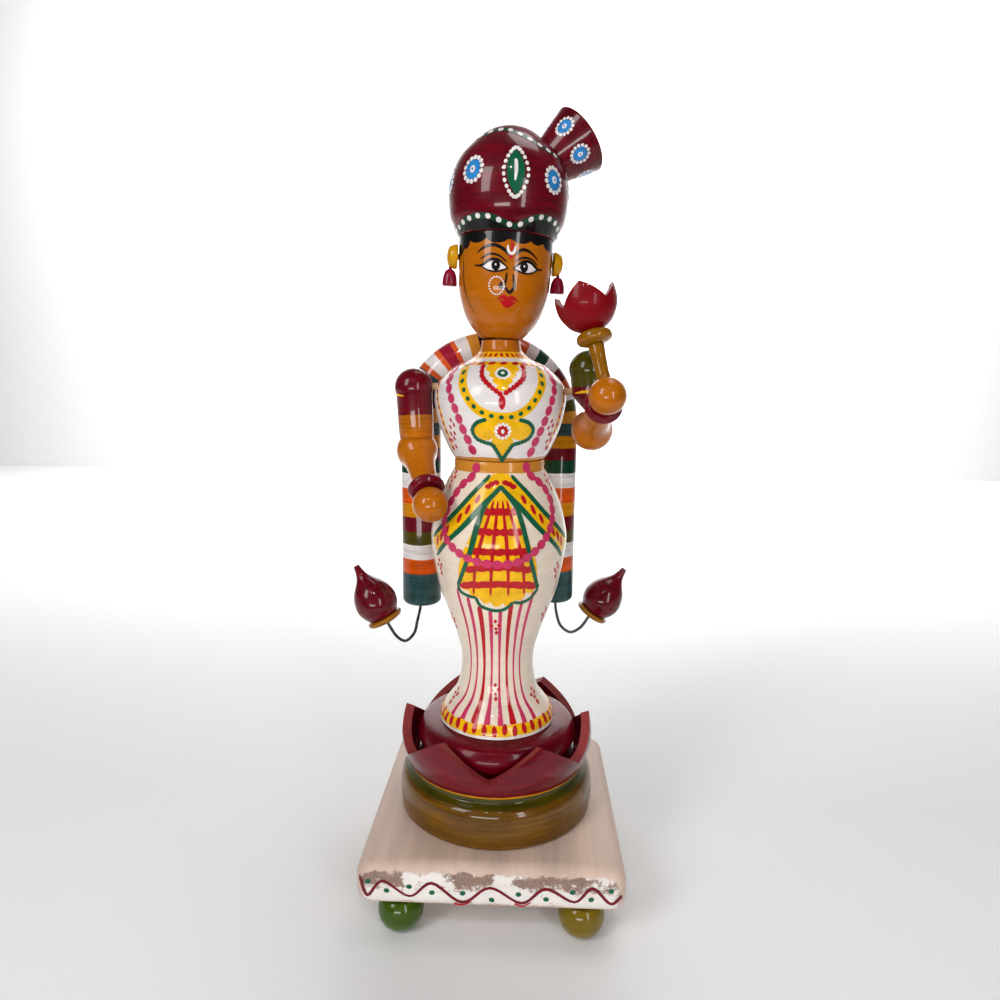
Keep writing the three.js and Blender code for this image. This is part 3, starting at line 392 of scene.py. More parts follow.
def bare_wood(name, colour):
    finish = Finish(name, Matrix.Identity(4))
    grain = finish.noise(60, stretch=(1, 1, 0.12), detail=5, rough=0.65)
    finish.join(
        finish.shade(opaque(colour), finish.spread(grain, 0.3, 0.7, 0.7, 1.1)),
        finish.shader.inputs["Base Color"])
    finish.join(finish.spread(grain, 0.3, 0.7, 0.5, 0.7), finish.shader.inputs["Roughness"])
    finish.bump(grain, 0.3, 0.2 * MM)
    return finish.material


def iron(name):
    """Drawn iron wire, dull with a little rust bloom."""
    finish = Finish(name, Matrix.Identity(4))
    bloom = finish.noise(180, detail=5, rough=0.7)
    colour = finish.mix(
        finish.spread(bloom, 0.45, 0.75, 0, 1), opaque(srgb(0x5A5A60)), opaque(srgb(0x3A2E28)))
    finish.join(colour, finish.shader.inputs["Base Color"])
    finish.join(finish.spread(bloom, 0.3, 0.7, 0.28, 0.5), finish.shader.inputs["Roughness"])
    finish.shader.inputs["Metallic"].default_value = 0.9
    finish.bump(bloom, 0.25, 0.08 * MM)
    return finish.material


def arch_bands(name, place, rows):
    """Bands round the scarf's arch; rows are (first degree from the arch's right end, colour)."""
    finish = Finish(name, place)
    turn = finish.sum("ARCTAN2", finish.axis("Z"), finish.sum("MULTIPLY", finish.axis("X"), -1))
    degrees = finish.sum("MULTIPLY", turn, 180 / math.pi)
    wander = finish.spread(finish.noise(90, detail=2), 0.3, 0.7, -0.5, 0.5)
    colour = finish.bands(finish.sum("ADD", degrees, wander), rows)
    clouds = finish.noise(70, detail=4, seed=2.2)
    finish.join(
        finish.shade(colour, finish.spread(clouds, 0.3, 0.7, 0.72, 1.12)),
        finish.shader.inputs["Base Color"])
    finish.join(finish.spread(clouds, 0.3, 0.7, 0.2, 0.34), finish.shader.inputs["Roughness"])
    finish.bump(clouds, 0.1, 0.15 * MM)
    finish.gloss(0.7, 0.05)
    return finish.material


def plank_wood(name):
    """Pale planed wood, its grain from front to back, with a limewashed and worn front edge."""
    look = colours()
    finish = Finish(name, Matrix.Identity(4))
    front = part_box("base_plank")[0].y
    grain = finish.noise(190, stretch=(1, 0.045, 1), detail=6, rough=0.62)
    joints = finish.noise(48, stretch=(1, 0.03, 0.05), detail=2, seed=4.0)
    tone = finish.sum(
        "MULTIPLY",
        finish.spread(grain, 0.3, 0.7, 0.84, 1.08),
        finish.spread(joints, 0.35, 0.65, 0.88, 1.06))
    wood = finish.shade(opaque(look.wood), tone)
    rub = finish.noise(120, detail=6, rough=0.72, seed=2.5)
    inwards = finish.sum("SUBTRACT", finish.axis("Y"), front)
    edge = finish.sum("ADD", inwards, finish.spread(rub, 0.3, 0.7, -0.9 * MM, 0.9 * MM))
    on_front = finish.spread(edge, 0.9 * MM, 1.3 * MM, 1, 0)
    lime = finish.shade(opaque(look.lime), finish.spread(rub, 0.3, 0.7, 0.88, 1.04))
    below_top = finish.sum("SUBTRACT", PLANK_TOP, finish.axis("Z"))
    patches = finish.noise(34, detail=5, rough=0.7, stretch=(1, 1, 1.6), seed=9.4)
    near_top = finish.spread(below_top, 0, 13 * MM, 1.1, 0)
    worn = finish.sum("MULTIPLY", near_top, finish.spread(patches, 0.44, 0.56, 0, 1.6))
    flecks = finish.noise(420, stretch=(1, 1, 1.5), detail=5, rough=0.75, seed=6.2)
    crumbs = finish.sum(
        "ADD",
        finish.spread(rub, 0.3, 0.7, -0.45, 0.45),
        finish.spread(flecks, 0.3, 0.7, -0.4, 0.4))
    ragged = finish.spread(finish.sum("ADD", worn, crumbs), 0.35, 0.75, 0, 0.9)
    soil = finish.shade(opaque(look.soil), finish.spread(flecks, 0.35, 0.65, 0.7, 1.7))
    front_face = finish.mix(ragged, lime, soil)
    colour = finish.mix(on_front, wood, front_face)
    finish.join(colour, finish.shader.inputs["Base Color"])
    finish.join(finish.spread(grain, 0.3, 0.7, 0.45, 0.62), finish.shader.inputs["Roughness"])
    rough = finish.sum("ADD", finish.sum("MULTIPLY", rub, finish.sum("ADD", on_front, 0.1)), grain)
    finish.bump(rough, 0.4, 0.35 * MM)
    return finish.material


# ---- shaping ---------------------------------------------------------------------------------------------
def smooth(points, per=7):
    """A smooth run through the given points, the way a bent spline would lie."""
    run = []
    last = len(points) - 1
    for i in range(last):
        before, start, end = points[max(i - 1, 0)], points[i], points[i + 1]
        after = points[min(i + 2, last)]
        for k in range(per):
            t = k / per
            row = []
            for a, b, c, d in zip(before, start, end, after):
                out, into = (c - a) / 2, (d - b) / 2
                row.append((2 * b - 2 * c + out + into) * t ** 3
                           + (3 * c - 3 * b - 2 * out - into) * t * t + out * t + b)
            run.append(tuple(row))
    run.append(tuple(points[-1]))
    return run


def arc(radius, centre, start, end, steps):
    """Outline points along an arc round (0, centre), between two angles above level."""
    angles = [math.radians(start + (end - start) * i / steps) for i in range(steps + 1)]
    return [(radius * math.cos(a), centre + radius * math.sin(a)) for a in angles]


def deselect():
    if bpy.context.object and bpy.context.object.mode != "OBJECT":
        bpy.ops.object.mode_set(mode="OBJECT")
    bpy.ops.object.select_all(action="DESELECT")


def choose(piece):
    deselect()
    piece.select_set(True)
    bpy.context.view_layer.objects.active = piece


def settle(piece, place):
    """Puts a piece in its place and leaves that place in its mesh."""
    choose(piece)
    piece.matrix_world = place
    bpy.ops.object.transform_apply(location=True, rotation=True, scale=True)


def smooth_shading(piece, angle):
    choose(piece)
    bpy.ops.object.shade_smooth_by_angle(angle=math.radians(angle))


def face_outwards():
    """Ends edit mode with every face turned outwards."""
    bpy.ops.mesh.select_all(action="SELECT")
    bpy.ops.mesh.normals_make_consistent(inside=False)
    bpy.ops.object.mode_set(mode="OBJECT")


def soften(piece, width, angle=38):
    """Rounds the sharp edges, as sanding on the lathe does."""
    choose(piece)
    bpy.ops.object.modifier_add(type="BEVEL")
    bevel = piece.modifiers[-1]
    bevel.limit_method = "ANGLE"
    bevel.angle_limit = math.radians(angle)
    bevel.width = width
    bevel.segments = 2
    bpy.ops.object.modifier_apply(modifier=bevel.name)


def turned(name, outline, sides=None, softened=True):
    """Draws half an outline as a chain of edges and spins it round the Z axis."""
    deselect()
    bpy.ops.mesh.primitive_plane_add(size=MM)
    piece = bpy.context.object
    piece.name = piece.data.name = name
    bpy.ops.object.mode_set(mode="EDIT")
    bpy.ops.mesh.merge(type="CENTER")
    points = [Vector((max(r, 0) * MM, 0, z * MM)) for r, z in outline]
    bpy.ops.transform.translate(value=points[0])
    for start, end in zip(points, points[1:]):
        if (end - start).length > SHORTEST_EDGE_METRES:
            bpy.ops.mesh.extrude_region_move(TRANSFORM_OT_translate={"value": end - start})
    bpy.ops.mesh.select_all(action="SELECT")
    bpy.ops.mesh.spin(
        steps=sides or sizes().sides, angle=2 * math.pi, center=(0, 0, 0), axis=(0, 0, 1))
    bpy.ops.mesh.select_all(action="SELECT")
    bpy.ops.mesh.remove_doubles(threshold=MERGE_METRES)
    face_outwards()
    if softened:
        soften(piece, sizes().edge)
    smooth_shading(piece, TURNED_SMOOTH)
    return piece


def dress(piece, material, body, slot, *nodes):
    """Gives a piece its finish, its body and the nodes that it stands for."""
    if not piece.data.materials:
        piece.data.materials.append(material)
    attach(piece, body)
    if nodes:
        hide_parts(*nodes)


def lacquered(piece, place, name, rows, body, slot, node, **coat):
    """Puts a turned piece in its place and lacquers it."""
    settle(piece, place)
    dress(piece, lacquer(name, place, rows, **coat), body, slot, node)


def wedge(name, material, top, depth, rim, half_width):
    """A V-shaped block that points down, from the axis out to the front."""
    over = 1.25
    reach = rim * 1.5
    middle = (top - depth + depth * over / 2) * MM
    deselect()
    bpy.ops.mesh.primitive_cube_add(
        size=1, location=(0, -reach / 2 * MM, middle),
        scale=(half_width * over * 2 * MM, reach * MM, depth * over * MM))
    block = bpy.context.object
    block.name = name
    bpy.ops.object.transform_apply(location=True, rotation=True, scale=True)
    bpy.ops.object.mode_set(mode="EDIT")
    bpy.ops.mesh.select_all(action="DESELECT")
    bpy.ops.object.mode_set(mode="OBJECT")
    for vertex in block.data.vertices:
        vertex.select = vertex.co.z < middle
    bpy.ops.object.mode_set(mode="EDIT")
    bpy.ops.transform.resize(value=(0, 1, 1), center_override=(0, 0, 0))
    bpy.ops.mesh.remove_doubles(threshold=MERGE_METRES)
    face_outwards()
    block.data.materials.append(material)
    return block


def cut_petals(piece, material, count, turn, top, depth, rim):
    """Saws a turned rim into petals, one V-shaped notch at a time."""
    half_width = rim * math.tan(math.pi / count)
    for i in range(count):
        block = wedge("notch", material, top, depth, rim, half_width)
        block.rotation_euler.z = math.radians(turn + 360 * i / count)
        choose(block)
        bpy.ops.object.transform_apply(location=True, rotation=True, scale=True)
        choose(piece)
        bpy.ops.object.modifier_add(type="BOOLEAN")
        notch = piece.modifiers[-1]
        notch.operation = "DIFFERENCE"
        notch.solver = "EXACT"
        notch.material_mode = "TRANSFER"
        notch.object = block
        bpy.ops.object.modifier_apply(modifier=notch.name)
        bpy.data.objects.remove(block)


# ---- painted work --------------------------------------------------------------------------------------
class TurnedSurface:
    """The painted outside of a turned piece: across is in degrees from the front, up is in mm."""

    def __init__(self, outline, place):
        self.outline = outline
        self.place = place

    def radius(self, up):
        rows = self.outline
        if up <= rows[0][1]:
            return rows[0][0]
        for (r0, z0), (r1, z1) in zip(rows, rows[1:]):
            if z0 <= up <= z1 and z1 > z0:
                return r0 + (r1 - r0) * (up - z0) / (z1 - z0)
        return rows[-1][0]

    def per_unit(self, up):
        """Millimetres of surface in one unit of across."""
        return math.radians(1) * max(self.radius(up), 1)

    def point(self, across, up, lift):
        """The point that stands by a lift in mm off the surface."""
        slope = (self.radius(up + 0.4) - self.radius(up - 0.4)) / 0.8
        scale = 1 / math.sqrt(1 + slope * slope)
        reach = self.radius(up) + lift * scale
        angle = math.radians(across)
        local = Vector((reach * math.sin(angle), -reach * math.cos(angle), up - lift * slope * scale))
        return self.place @ (local * MM)


class FrontFace:
    """A flat upright face that looks forwards: across and up are in mm."""

    def __init__(self, y):
        self.y = y

    def per_unit(self, up):
        return 1

    def point(self, across, up, lift):
        return Vector((across * MM, self.y - lift * MM, up * MM))


class Brushwork:
    """Strokes of paint on one surface, gathered by colour and then laid as thin closed films."""

    def __init__(self, surface):
        self.surface = surface
        self.films = {}

    def stroke(self, colour, points, width, end="round", layer=1, per=6):
        """A stroke through (across, up) points; width is one number, or one for each point."""
        widths = list(width) if isinstance(width, (list, tuple)) else [width] * len(points)
        rows = [(*point, w) for point, w in zip(points, widths)]
        if len(rows) > 2:
            rows = smooth(rows, per)
        scale = self.surface.per_unit(points[len(points) // 2][1])
        flat = [Vector((across * scale, up)) for across, up, _ in rows]
        if end == "dab" and len(rows) == 2:
            steps = 6 if widths[0] > 2 else 4
            mixes = [0.5 - 0.49 * math.cos(math.pi * i / steps) for i in range(steps + 1)]
            flat = [flat[0].lerp(flat[1], m) for m in mixes]
            rows = [(0, 0, widths[0])] * len(flat)
        elif len(rows) == 2:
            steps = max(2, int((flat[1] - flat[0]).length / STRAIGHT_STEP))
            mixes = [i / steps for i in range(steps + 1)]
            rows = [(0, 0, widths[0] + (widths[1] - widths[0]) * m) for m in mixes]
            flat = [flat[0].lerp(flat[1], m) for m in mixes]
        lengths = [0]
        for a, b in zip(flat, flat[1:]):
            lengths.append(lengths[-1] + (b - a).length)
        total = max(lengths[-1], 0.01)
        columns = max(2, math.ceil(max(w for *_, w in rows) / FILM_COLUMN))
        sheet = []
        for i, (spot, run) in enumerate(zip(flat, lengths)):
            ahead = flat[min(i + 1, len(flat) - 1)] - flat[max(i - 1, 0)]
            sideways = Vector((-ahead.y, ahead.x)).normalized()
            full = rows[i][2]
            half = full / 2 * end_share(end, run, total, full)
            sheet.append([spot + sideways * half * (2 * j / columns - 1) for j in range(columns + 1)])
        self.films.setdefault((colour, layer), []).append((sheet, scale))

    def dab(self, colour, across, up, width, tall=None, lean=0, layer=1):
        """One touch of a loaded brush, an ellipse that leans by so many degrees."""
        tall = width if tall is None else tall
        scale = self.surface.per_unit(up)
        side = math.sin(math.radians(lean)) * tall / 2 / scale
        rise = math.cos(math.radians(lean)) * tall / 2
        ends = [(across - side, up - rise), (across + side, up + rise)]
        self.stroke(colour, ends, width, "dab", layer)

    def ring_of_dabs(self, colour, across, up, radius, count, size, layer=1, stretch=1.0):
        """Dabs at even spacing round a circle, drawn taller by the stretch."""
        scale = self.surface.per_unit(up)
        for i in range(count):
            angle = 2 * math.pi * i / count
            self.dab(colour, across + radius * math.sin(angle) / scale,
                     up + radius * stretch * math.cos(angle), size, layer=layer)

    def row_of_dabs(self, colour, points, size, spacing, tall, layer=1):
        """Dabs at even spacing along a smooth line, each turned along it."""
        line = smooth(points, LINE_STEPS)
        run = spacing / 2
        for a, b in zip(line, line[1:]):
            scale = self.surface.per_unit((a[1] + b[1]) / 2)
            step = Vector(((b[0] - a[0]) * scale, b[1] - a[1]))
            while run <= step.length:
                share = run / max(step.length, 1e-6)
                lean = math.degrees(math.atan2(step.x, step.y))
                self.dab(colour, a[0] + (b[0] - a[0]) * share, a[1] + (b[1] - a[1]) * share,
                         size, tall, lean, layer)
                run += spacing
            run -= step.length

    def lay(self, name, body):
        """Makes each colour's film a closed mesh whose underside is sunk in the wood."""
        for (colour, layer), sheets in sorted(self.films.items()):
            corners, faces = [], []
            lift = layer * sizes().film / MM
            for sheet, scale in sheets:
                first = len(corners)
                rows, columns = len(sheet), len(sheet[0])
                for height in (lift, -FILM_DEPTH):
                    for row in sheet:
                        corners += [self.surface.point(spot.x / scale, spot.y, height) for spot in row]
                under = first + rows * columns
                for i in range(rows - 1):
                    for j in range(columns - 1):
                        a = i * columns + j
                        b = a + columns
                        faces.append([first + k for k in (a, b, b + 1, a + 1)])
                        faces.append([under + k for k in (a + 1, b + 1, b, a)])
                rim = list(range(columns))
                rim += [i * columns + columns - 1 for i in range(1, rows)]
                rim += [(rows - 1) * columns + j for j in range(columns - 2, -1, -1)]
                rim += [i * columns for i in range(rows - 2, 0, -1)]
                for a, b in zip(rim, rim[1:] + rim[:1]):
                    faces.append([first + a, first + b, under + b, under + a])
            mesh = bpy.data.meshes.new(f"{name}_{colour}_{layer}")
            mesh.from_pydata(corners, [], faces)
            film = bpy.data.objects.new(mesh.name, mesh)
            bpy.context.collection.objects.link(film)
            choose(film)
            bpy.ops.object.mode_set(mode="EDIT")
            face_outwards()
            smooth_shading(film, EASED_SMOOTH)
            dress(film, paint(colour), body, PAINT_SLOTS.get(colour))


def end_share(end, run, total, width):
    """How much of a stroke's width is left at a point along it."""
    if end == "dab":
        return math.sqrt(max(1 - (2 * run / total - 1) ** 2, 0.06))
    if end == "leaf":
        return max(math.sin(math.pi * run / total), 0) ** 0.8 * 0.94 + 0.06
    if end == "tail":
        return max(1 - run / total, 0) ** 0.6 * 0.92 + 0.08
    if end == "flat":
        return 1
    left = min(run, total - run) / max(width / 2, 1e-6)
    return 1 if left >= 1 else math.sqrt(max(1 - (1 - left) ** 2, 0.1))


PAINT_SLOTS = {
    "white": "cream_paint", "yellow": "yellow_lacquer", "green": "green_lacquer", "red": "red_paint",
    "rose": "red_paint", "black": "black_paint", "maroon": "maroon_lacquer",
}


def paint(colour):
    """The brush paint of that colour, made once."""
    name = f"brush_paint_{colour}"
    return bpy.data.materials.get(name) or brush_paint(name, getattr(colours(), colour))


# ---- outlines and places of the pieces -----------------------------------------------------------------
def span(node):
    """The lowest and highest height of a node, in mm above the plank."""
    low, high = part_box(node)
    return (low.z - PLANK_TOP) / MM, (high.z - PLANK_TOP) / MM


def along(low, high, rows):
    """Outline points from (radius, share of the height) rows."""
    return [(r, low + share * (high - low)) for r, share in rows]


def skirt_outline():
    low, high = span("skirt")
    return smooth(along(low, high - WAIST_BAND, [
        (HEM_RADIUS, 0), (HEM_RADIUS - 0.9, 0.035), (KNEE_RADIUS + 6.2, 0.076), (KNEE_RADIUS + 2.6, 0.118),
        (KNEE_RADIUS + 0.5, 0.184), (KNEE_RADIUS, 0.246), (KNEE_RADIUS + 1.1, 0.309),
        (KNEE_RADIUS + 4.2, 0.393), (HIP_RADIUS - 6.6, 0.476), (HIP_RADIUS - 3.3, 0.559),
        (HIP_RADIUS, 0.718), (HIP_RADIUS - 0.9, 0.798), (HIP_RADIUS - 3.4, 0.877),
        (WAIST_RADIUS + 3.4, 0.955), (WAIST_RADIUS + 0.5, 1)]), 6)


def torso_outline():
    low, high = span("torso")
    return smooth(along(low, high, [
        (WAIST_RADIUS, 0), (WAIST_RADIUS + 2.2, 0.065), (WAIST_RADIUS + 4.7, 0.17),
        (CHEST_RADIUS - 2.1, 0.284), (CHEST_RADIUS - 0.6, 0.414), (CHEST_RADIUS, 0.5),
        (CHEST_RADIUS - 0.8, 0.604), (CHEST_RADIUS - 3.8, 0.688), (CHEST_RADIUS - 8.9, 0.774),
        (NECK_RADIUS + 5.4, 0.84), (NECK_RADIUS + 2.2, 0.884), (NECK_RADIUS + 0.6, 0.926),
        (NECK_RADIUS, 1)]), 6)


def head_outline():
    return smooth([
        (NECK_RADIUS + 0.6, 0.8), (HEAD_RADIUS - 7.4, 4.9), (HEAD_RADIUS - 4.6, 8.9),
        (HEAD_RADIUS - 1.9, 15.9), (HEAD_RADIUS - 0.6, 21.9), (HEAD_RADIUS - 0.2, 30.9),
        (HEAD_RADIUS, HEAD_TOP)], 8)


def turban_outline():
    return smooth(along(TURBAN_BOTTOM, TURBAN_BOTTOM + TURBAN_HEIGHT, [
        (HEAD_RADIUS + 0.4, 0), (TURBAN_RADIUS - 3.4, 0.07), (TURBAN_RADIUS - 1, 0.18),
        (TURBAN_RADIUS, 0.36), (TURBAN_RADIUS - 0.9, 0.53), (TURBAN_RADIUS - 4.4, 0.71),
        (TURBAN_RADIUS - 12.2, 0.89), (TURBAN_RADIUS - 19, 0.975), (0, 1)]), 8)


def knob_outline():
    top = GAP + KNOB_LENGTH
    return [(KNOB_NARROW, GAP), (KNOB_WIDE - 0.4, top - 1.4), (KNOB_WIDE, top - 0.6)]


def head_place():
    joint = JOINTS["neck_turn"]
    lean = UP.rotation_difference(Vector(joint["axis"])).to_matrix().to_4x4()
    turn = Matrix.Rotation(math.radians(HEAD_TURN), 4, "Z")
    return Matrix.Translation(joint["pos_m"]) @ lean @ turn


def aimed(position, direction):
    """A frame at a position in mm, with its Z along a direction."""
    turn = UP.rotation_difference(Vector(direction).normalized()).to_matrix().to_4x4()
    return Matrix.Translation(Vector(position) * MM) @ turn


def knob_place():
    rise, sweep = math.radians(KNOB_RISE), math.radians(KNOB_SWEEP)
    level = math.cos(rise)
    way = Vector((level * math.cos(sweep), level * math.sin(sweep), math.sin(rise)))
    out = KNOB_SEAT / math.cos(rise)
    return head_place() @ aimed((way.x * out, way.y * out, KNOB_AT), way)


def scarf_place():
    return FIGURE @ Matrix.Translation(Vector((*SCARF_MIDDLE, 0)) * MM) @ Matrix.Rotation(
        math.radians(SCARF_YAW), 4, "Z")


def shoulder_place(arm):
    pivot = JOINTS[f"{arm}_shoulder"]["pos_m"]
    turn = Matrix.Rotation(math.radians(-ARMS[arm]["side"] * ARMS[arm]["splay"]), 4, "Y")
    return Matrix.Translation(pivot) @ turn


def forearm_place(arm):
    elbow = Matrix.Translation((0, 0, -ARMS[arm]["upper"] * MM))
    return shoulder_place(arm) @ elbow @ aimed((0, 0, 0), ARMS[arm]["reach"])


def hand_middle(arm):
    return forearm_place(arm) @ Vector((0, 0, ARMS[arm]["hand"] * MM))


def lotus_place():
    return aimed(hand_middle("left") / MM, LOTUS_AXIS)


# ---- an operator for each piece or group of like pieces ------------------------------------------------
class DOLL_OT_make_stage(bpy.types.Operator):
    """A pale floor and backdrop, the lights and the camera."""
    bl_idname = "doll.make_stage"
    bl_label = "Stage"

    def execute(self, context):
        scene = bpy.context.scene
        scene.view_settings.view_transform = "Standard"
        deselect()
        bpy.ops.mesh.primitive_plane_add(size=1, location=(0, 0.66, 0))
        floor = bpy.context.object
        floor.name = "floor"
        floor.scale = (6, 1.9, 1)
        deselect()
        bpy.ops.mesh.primitive_plane_add(size=1, location=(0, 1.6, 1.4), rotation=(math.pi / 2, 0, 0))
        backdrop = bpy.context.object
        backdrop.name = "backdrop"
        backdrop.scale = (6, 2.8, 1)
        finish = Finish("pale_floor", Matrix.Identity(4))
        clouds = finish.noise(3, detail=2)
        finish.join(
            finish.shade((0.9, 0.9, 0.9, 1), finish.spread(clouds, 0.3, 0.7, 0.98, 1.0)),
            finish.shader.inputs["Base Color"])
        finish.shader.inputs["Roughness"].default_value = 0.9
        for sheet in (floor, backdrop):
            sheet.data.materials.append(finish.material)

        world = bpy.data.worlds.new("studio")
        world.use_nodes = True
        world.node_tree.nodes["Background"].inputs["Color"].default_value = (1, 1, 1, 1)
        world.node_tree.nodes["Background"].inputs["Strength"].default_value = 0.09
        scene.world = world

        power = sizes().soft_light
        middle = Vector((0, 0, 0.18))
        # Each lamp's name, place in metres, width, height and power.
        lights = [
            ("key", (-0.62, -0.72, 0.7), 0.3, 0.6, power),
            ("window", (0.46, -0.8, 0.34), 0.12, 0.6, power * 0.5),
            ("overhead", (0.25, 0.15, 1.15), 0.5, 0.4, power * 0.45),
            ("low_front", (-0.16, -0.95, 0.1), 0.5, 0.12, power * 0.5),
            ("backdrop_light", (0, 0.8, 1.2), 1.6, 0.3, power * 8.5),
            ("lamp_left", (-0.12, -0.62, 0.78), 0.03, 0.03, power * 0.07),
            ("lamp_right", (0.08, -0.62, 0.8), 0.03, 0.03, power * 0.07),
        ]
        for name, spot, width, height, watts in lights:
            deselect()
            bpy.ops.object.light_add(type="AREA", location=spot)
            lamp = bpy.context.object
            lamp.name = name
            lamp.data.shape = "RECTANGLE"
            lamp.data.size, lamp.data.size_y = width, height
            lamp.data.energy = watts
            target = Vector((0, 1.6, 0.7)) if name == "backdrop_light" else middle
            lamp.rotation_euler = (Vector(spot) - target).to_track_quat("Z", "Y").to_euler()

        bpy.ops.object.camera_add(location=CAMERA_AT)
        camera = bpy.context.object
        camera.name = "camera"
        camera.data.lens = sizes().lens
        camera.data.sensor_width = 36
        camera.data.clip_start = 0.01
        down, heading, roll = (math.radians(a) for a in (CAMERA_DOWN, CAMERA_HEADING, CAMERA_ROLL))
        reach = math.cos(down)
        forward = Vector((math.sin(heading) * reach, math.cos(heading) * reach, -math.sin(down)))
        level = Vector((math.cos(heading), -math.sin(heading), 0))
        upright = level.cross(forward)
        right = level * math.cos(roll) + upright * math.sin(roll)
        top = upright * math.cos(roll) - level * math.sin(roll)
        camera.rotation_mode = "QUATERNION"
        camera.rotation_quaternion = Matrix((right, top, -forward)).transposed().to_quaternion()
        scene.camera = camera
        return {"FINISHED"}


class DOLL_OT_make_joinery(bpy.types.Operator):
    """Pegs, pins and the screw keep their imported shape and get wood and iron."""
    bl_idname = "doll.make_joinery"
    bl_label = "Hidden joinery"

    def execute(self, context):
        wood = bare_wood("peg_wood", colours().bare)
        metal = iron("peg_iron")
        for name, node in frame["nodes"].items():
            if "peg" in name or name == "spindle":
                finish = wood
            elif "pin" in name or "screw" in name:
                finish = metal
            else:
                continue
            node.data.materials.clear()
            node.data.materials.append(finish)
        return {"FINISHED"}


class DOLL_OT_make_plank(bpy.types.Operator):
    """The planed board: a block with rounded corners and eased edges."""
    bl_idname = "doll.make_plank"
    bl_label = "Plank"

    def execute(self, context):
        low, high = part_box("base_plank")
        deselect()
        bpy.ops.mesh.primitive_cube_add(size=1, location=(low + high) / 2, scale=high - low)
        plank = bpy.context.object
        plank.name = plank.data.name = "plank"
        bpy.ops.object.transform_apply(location=True, rotation=True, scale=True)
        bpy.ops.object.mode_set(mode="EDIT")
        bpy.ops.mesh.select_all(action="DESELECT")
        bpy.ops.object.mode_set(mode="OBJECT")
        for edge in plank.data.edges:
            a, b = (plank.data.vertices[i].co for i in edge.vertices)
            edge.select = abs(a.z - b.z) > (high.z - low.z) / 2
        bpy.ops.object.mode_set(mode="EDIT")
        bpy.ops.mesh.select_mode(type="EDGE")
        bpy.ops.mesh.bevel(offset=PLANK_CORNER * MM, segments=8, affect="EDGES")
        bpy.ops.mesh.select_mode(type="VERT")
        bpy.ops.object.mode_set(mode="OBJECT")
        soften(plank, PLANK_EASE * MM, 60)
        smooth_shading(plank, EASED_SMOOTH)
        dress(plank, plank_wood("limewashed_plank"), "stand", "plank_wood", "base_plank")
        return {"FINISHED"}


class DOLL_OT_make_plank_painting(bpy.types.Operator):
    """A crimson wave along the plank's front edge, with green dots in its bends."""
    bl_idname = "doll.make_plank_painting"
    bl_label = "Plank painting"

    def execute(self, context):
        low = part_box("base_plank")[0]
        work = Brushwork(FrontFace(low.y))
        foot = low.z / MM
        wave = [(-55, 15.5), (-51.8, 6.4), (-45.3, 13.2), (-33.8, 6.6), (-24.4, 13), (-11.6, 4.6), (0, 11.8),
                (13.4, 5.2), (23.4, 12.2), (35.4, 6.6), (42.8, 13.2), (50.5, 6.4), (55.2, 10.4)]
        wave = [(x, foot + z) for x, z in wave]
        work.stroke("maroon", wave, [0.9, 1.3, 1.2, 0.9, 1.3, 1.1, 1.2, 1.0, 1.4, 1.0, 1.3, 1.2, 0.9],
                    layer=2)
        work.stroke("red", [(-15, foot + 3.8), (-11.4, foot + 3.4), (-7.5, foot + 5)], 0.6, "tail")
        work.stroke("red", [(10.5, foot + 4.6), (14, foot + 3.7), (17.5, foot + 5.8)], 0.6, "tail")
        dots = [(-51.4, 12.8), (-43.6, 8.8), (-34, 11), (-24.4, 8.6), (-11.4, 8.8), (0.8, 6.2), (12, 9.2),
                (23.6, 7.4), (34.6, 11), (42.4, 8), (50.6, 12.2)]
        for i, (x, z) in enumerate(dots):
            work.dab("green", x, foot + z, 2.5, 2.1, lean=(i * 47) % 60 - 30)
        work.lay("plank_painting", "stand")
        return {"FINISHED"}


class DOLL_OT_make_feet(bpy.types.Operator):
    """Four turned ball feet, green and olive in turn."""
    bl_idname = "doll.make_feet"
    bl_label = "Ball feet"

    def execute(self, context):
        look = colours()
        shades = {"front_right": ("leaf", "green_lacquer"), "front_left": ("moss_gold", "olive_lacquer"),
                  "rear_right": ("moss_gold", "olive_lacquer"), "rear_left": ("leaf", "green_lacquer")}
        for corner, (shade, slot) in shades.items():
            node = f"foot_{corner}"
            low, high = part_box(node)
            place = Matrix.Translation(((low.x + high.x) / 2, (low.y + high.y) / 2, 0))
            middle = math.sqrt(BALL_RADIUS ** 2 - BALL_FLAT ** 2)
            top = high.z / MM
            start, end = (math.degrees(math.asin(h / BALL_RADIUS)) for h in (-middle, top - middle))
            ball = arc(BALL_RADIUS, middle, start, end, 22)
            foot = turned(f"ball_{node}", [(0, 0), *ball, (0, top)], 64)
            lacquered(foot, place, f"{shade}_{corner}", [(0, getattr(look, shade))], "stand", slot, node,
                      depth=0.3)
        return {"FINISHED"}


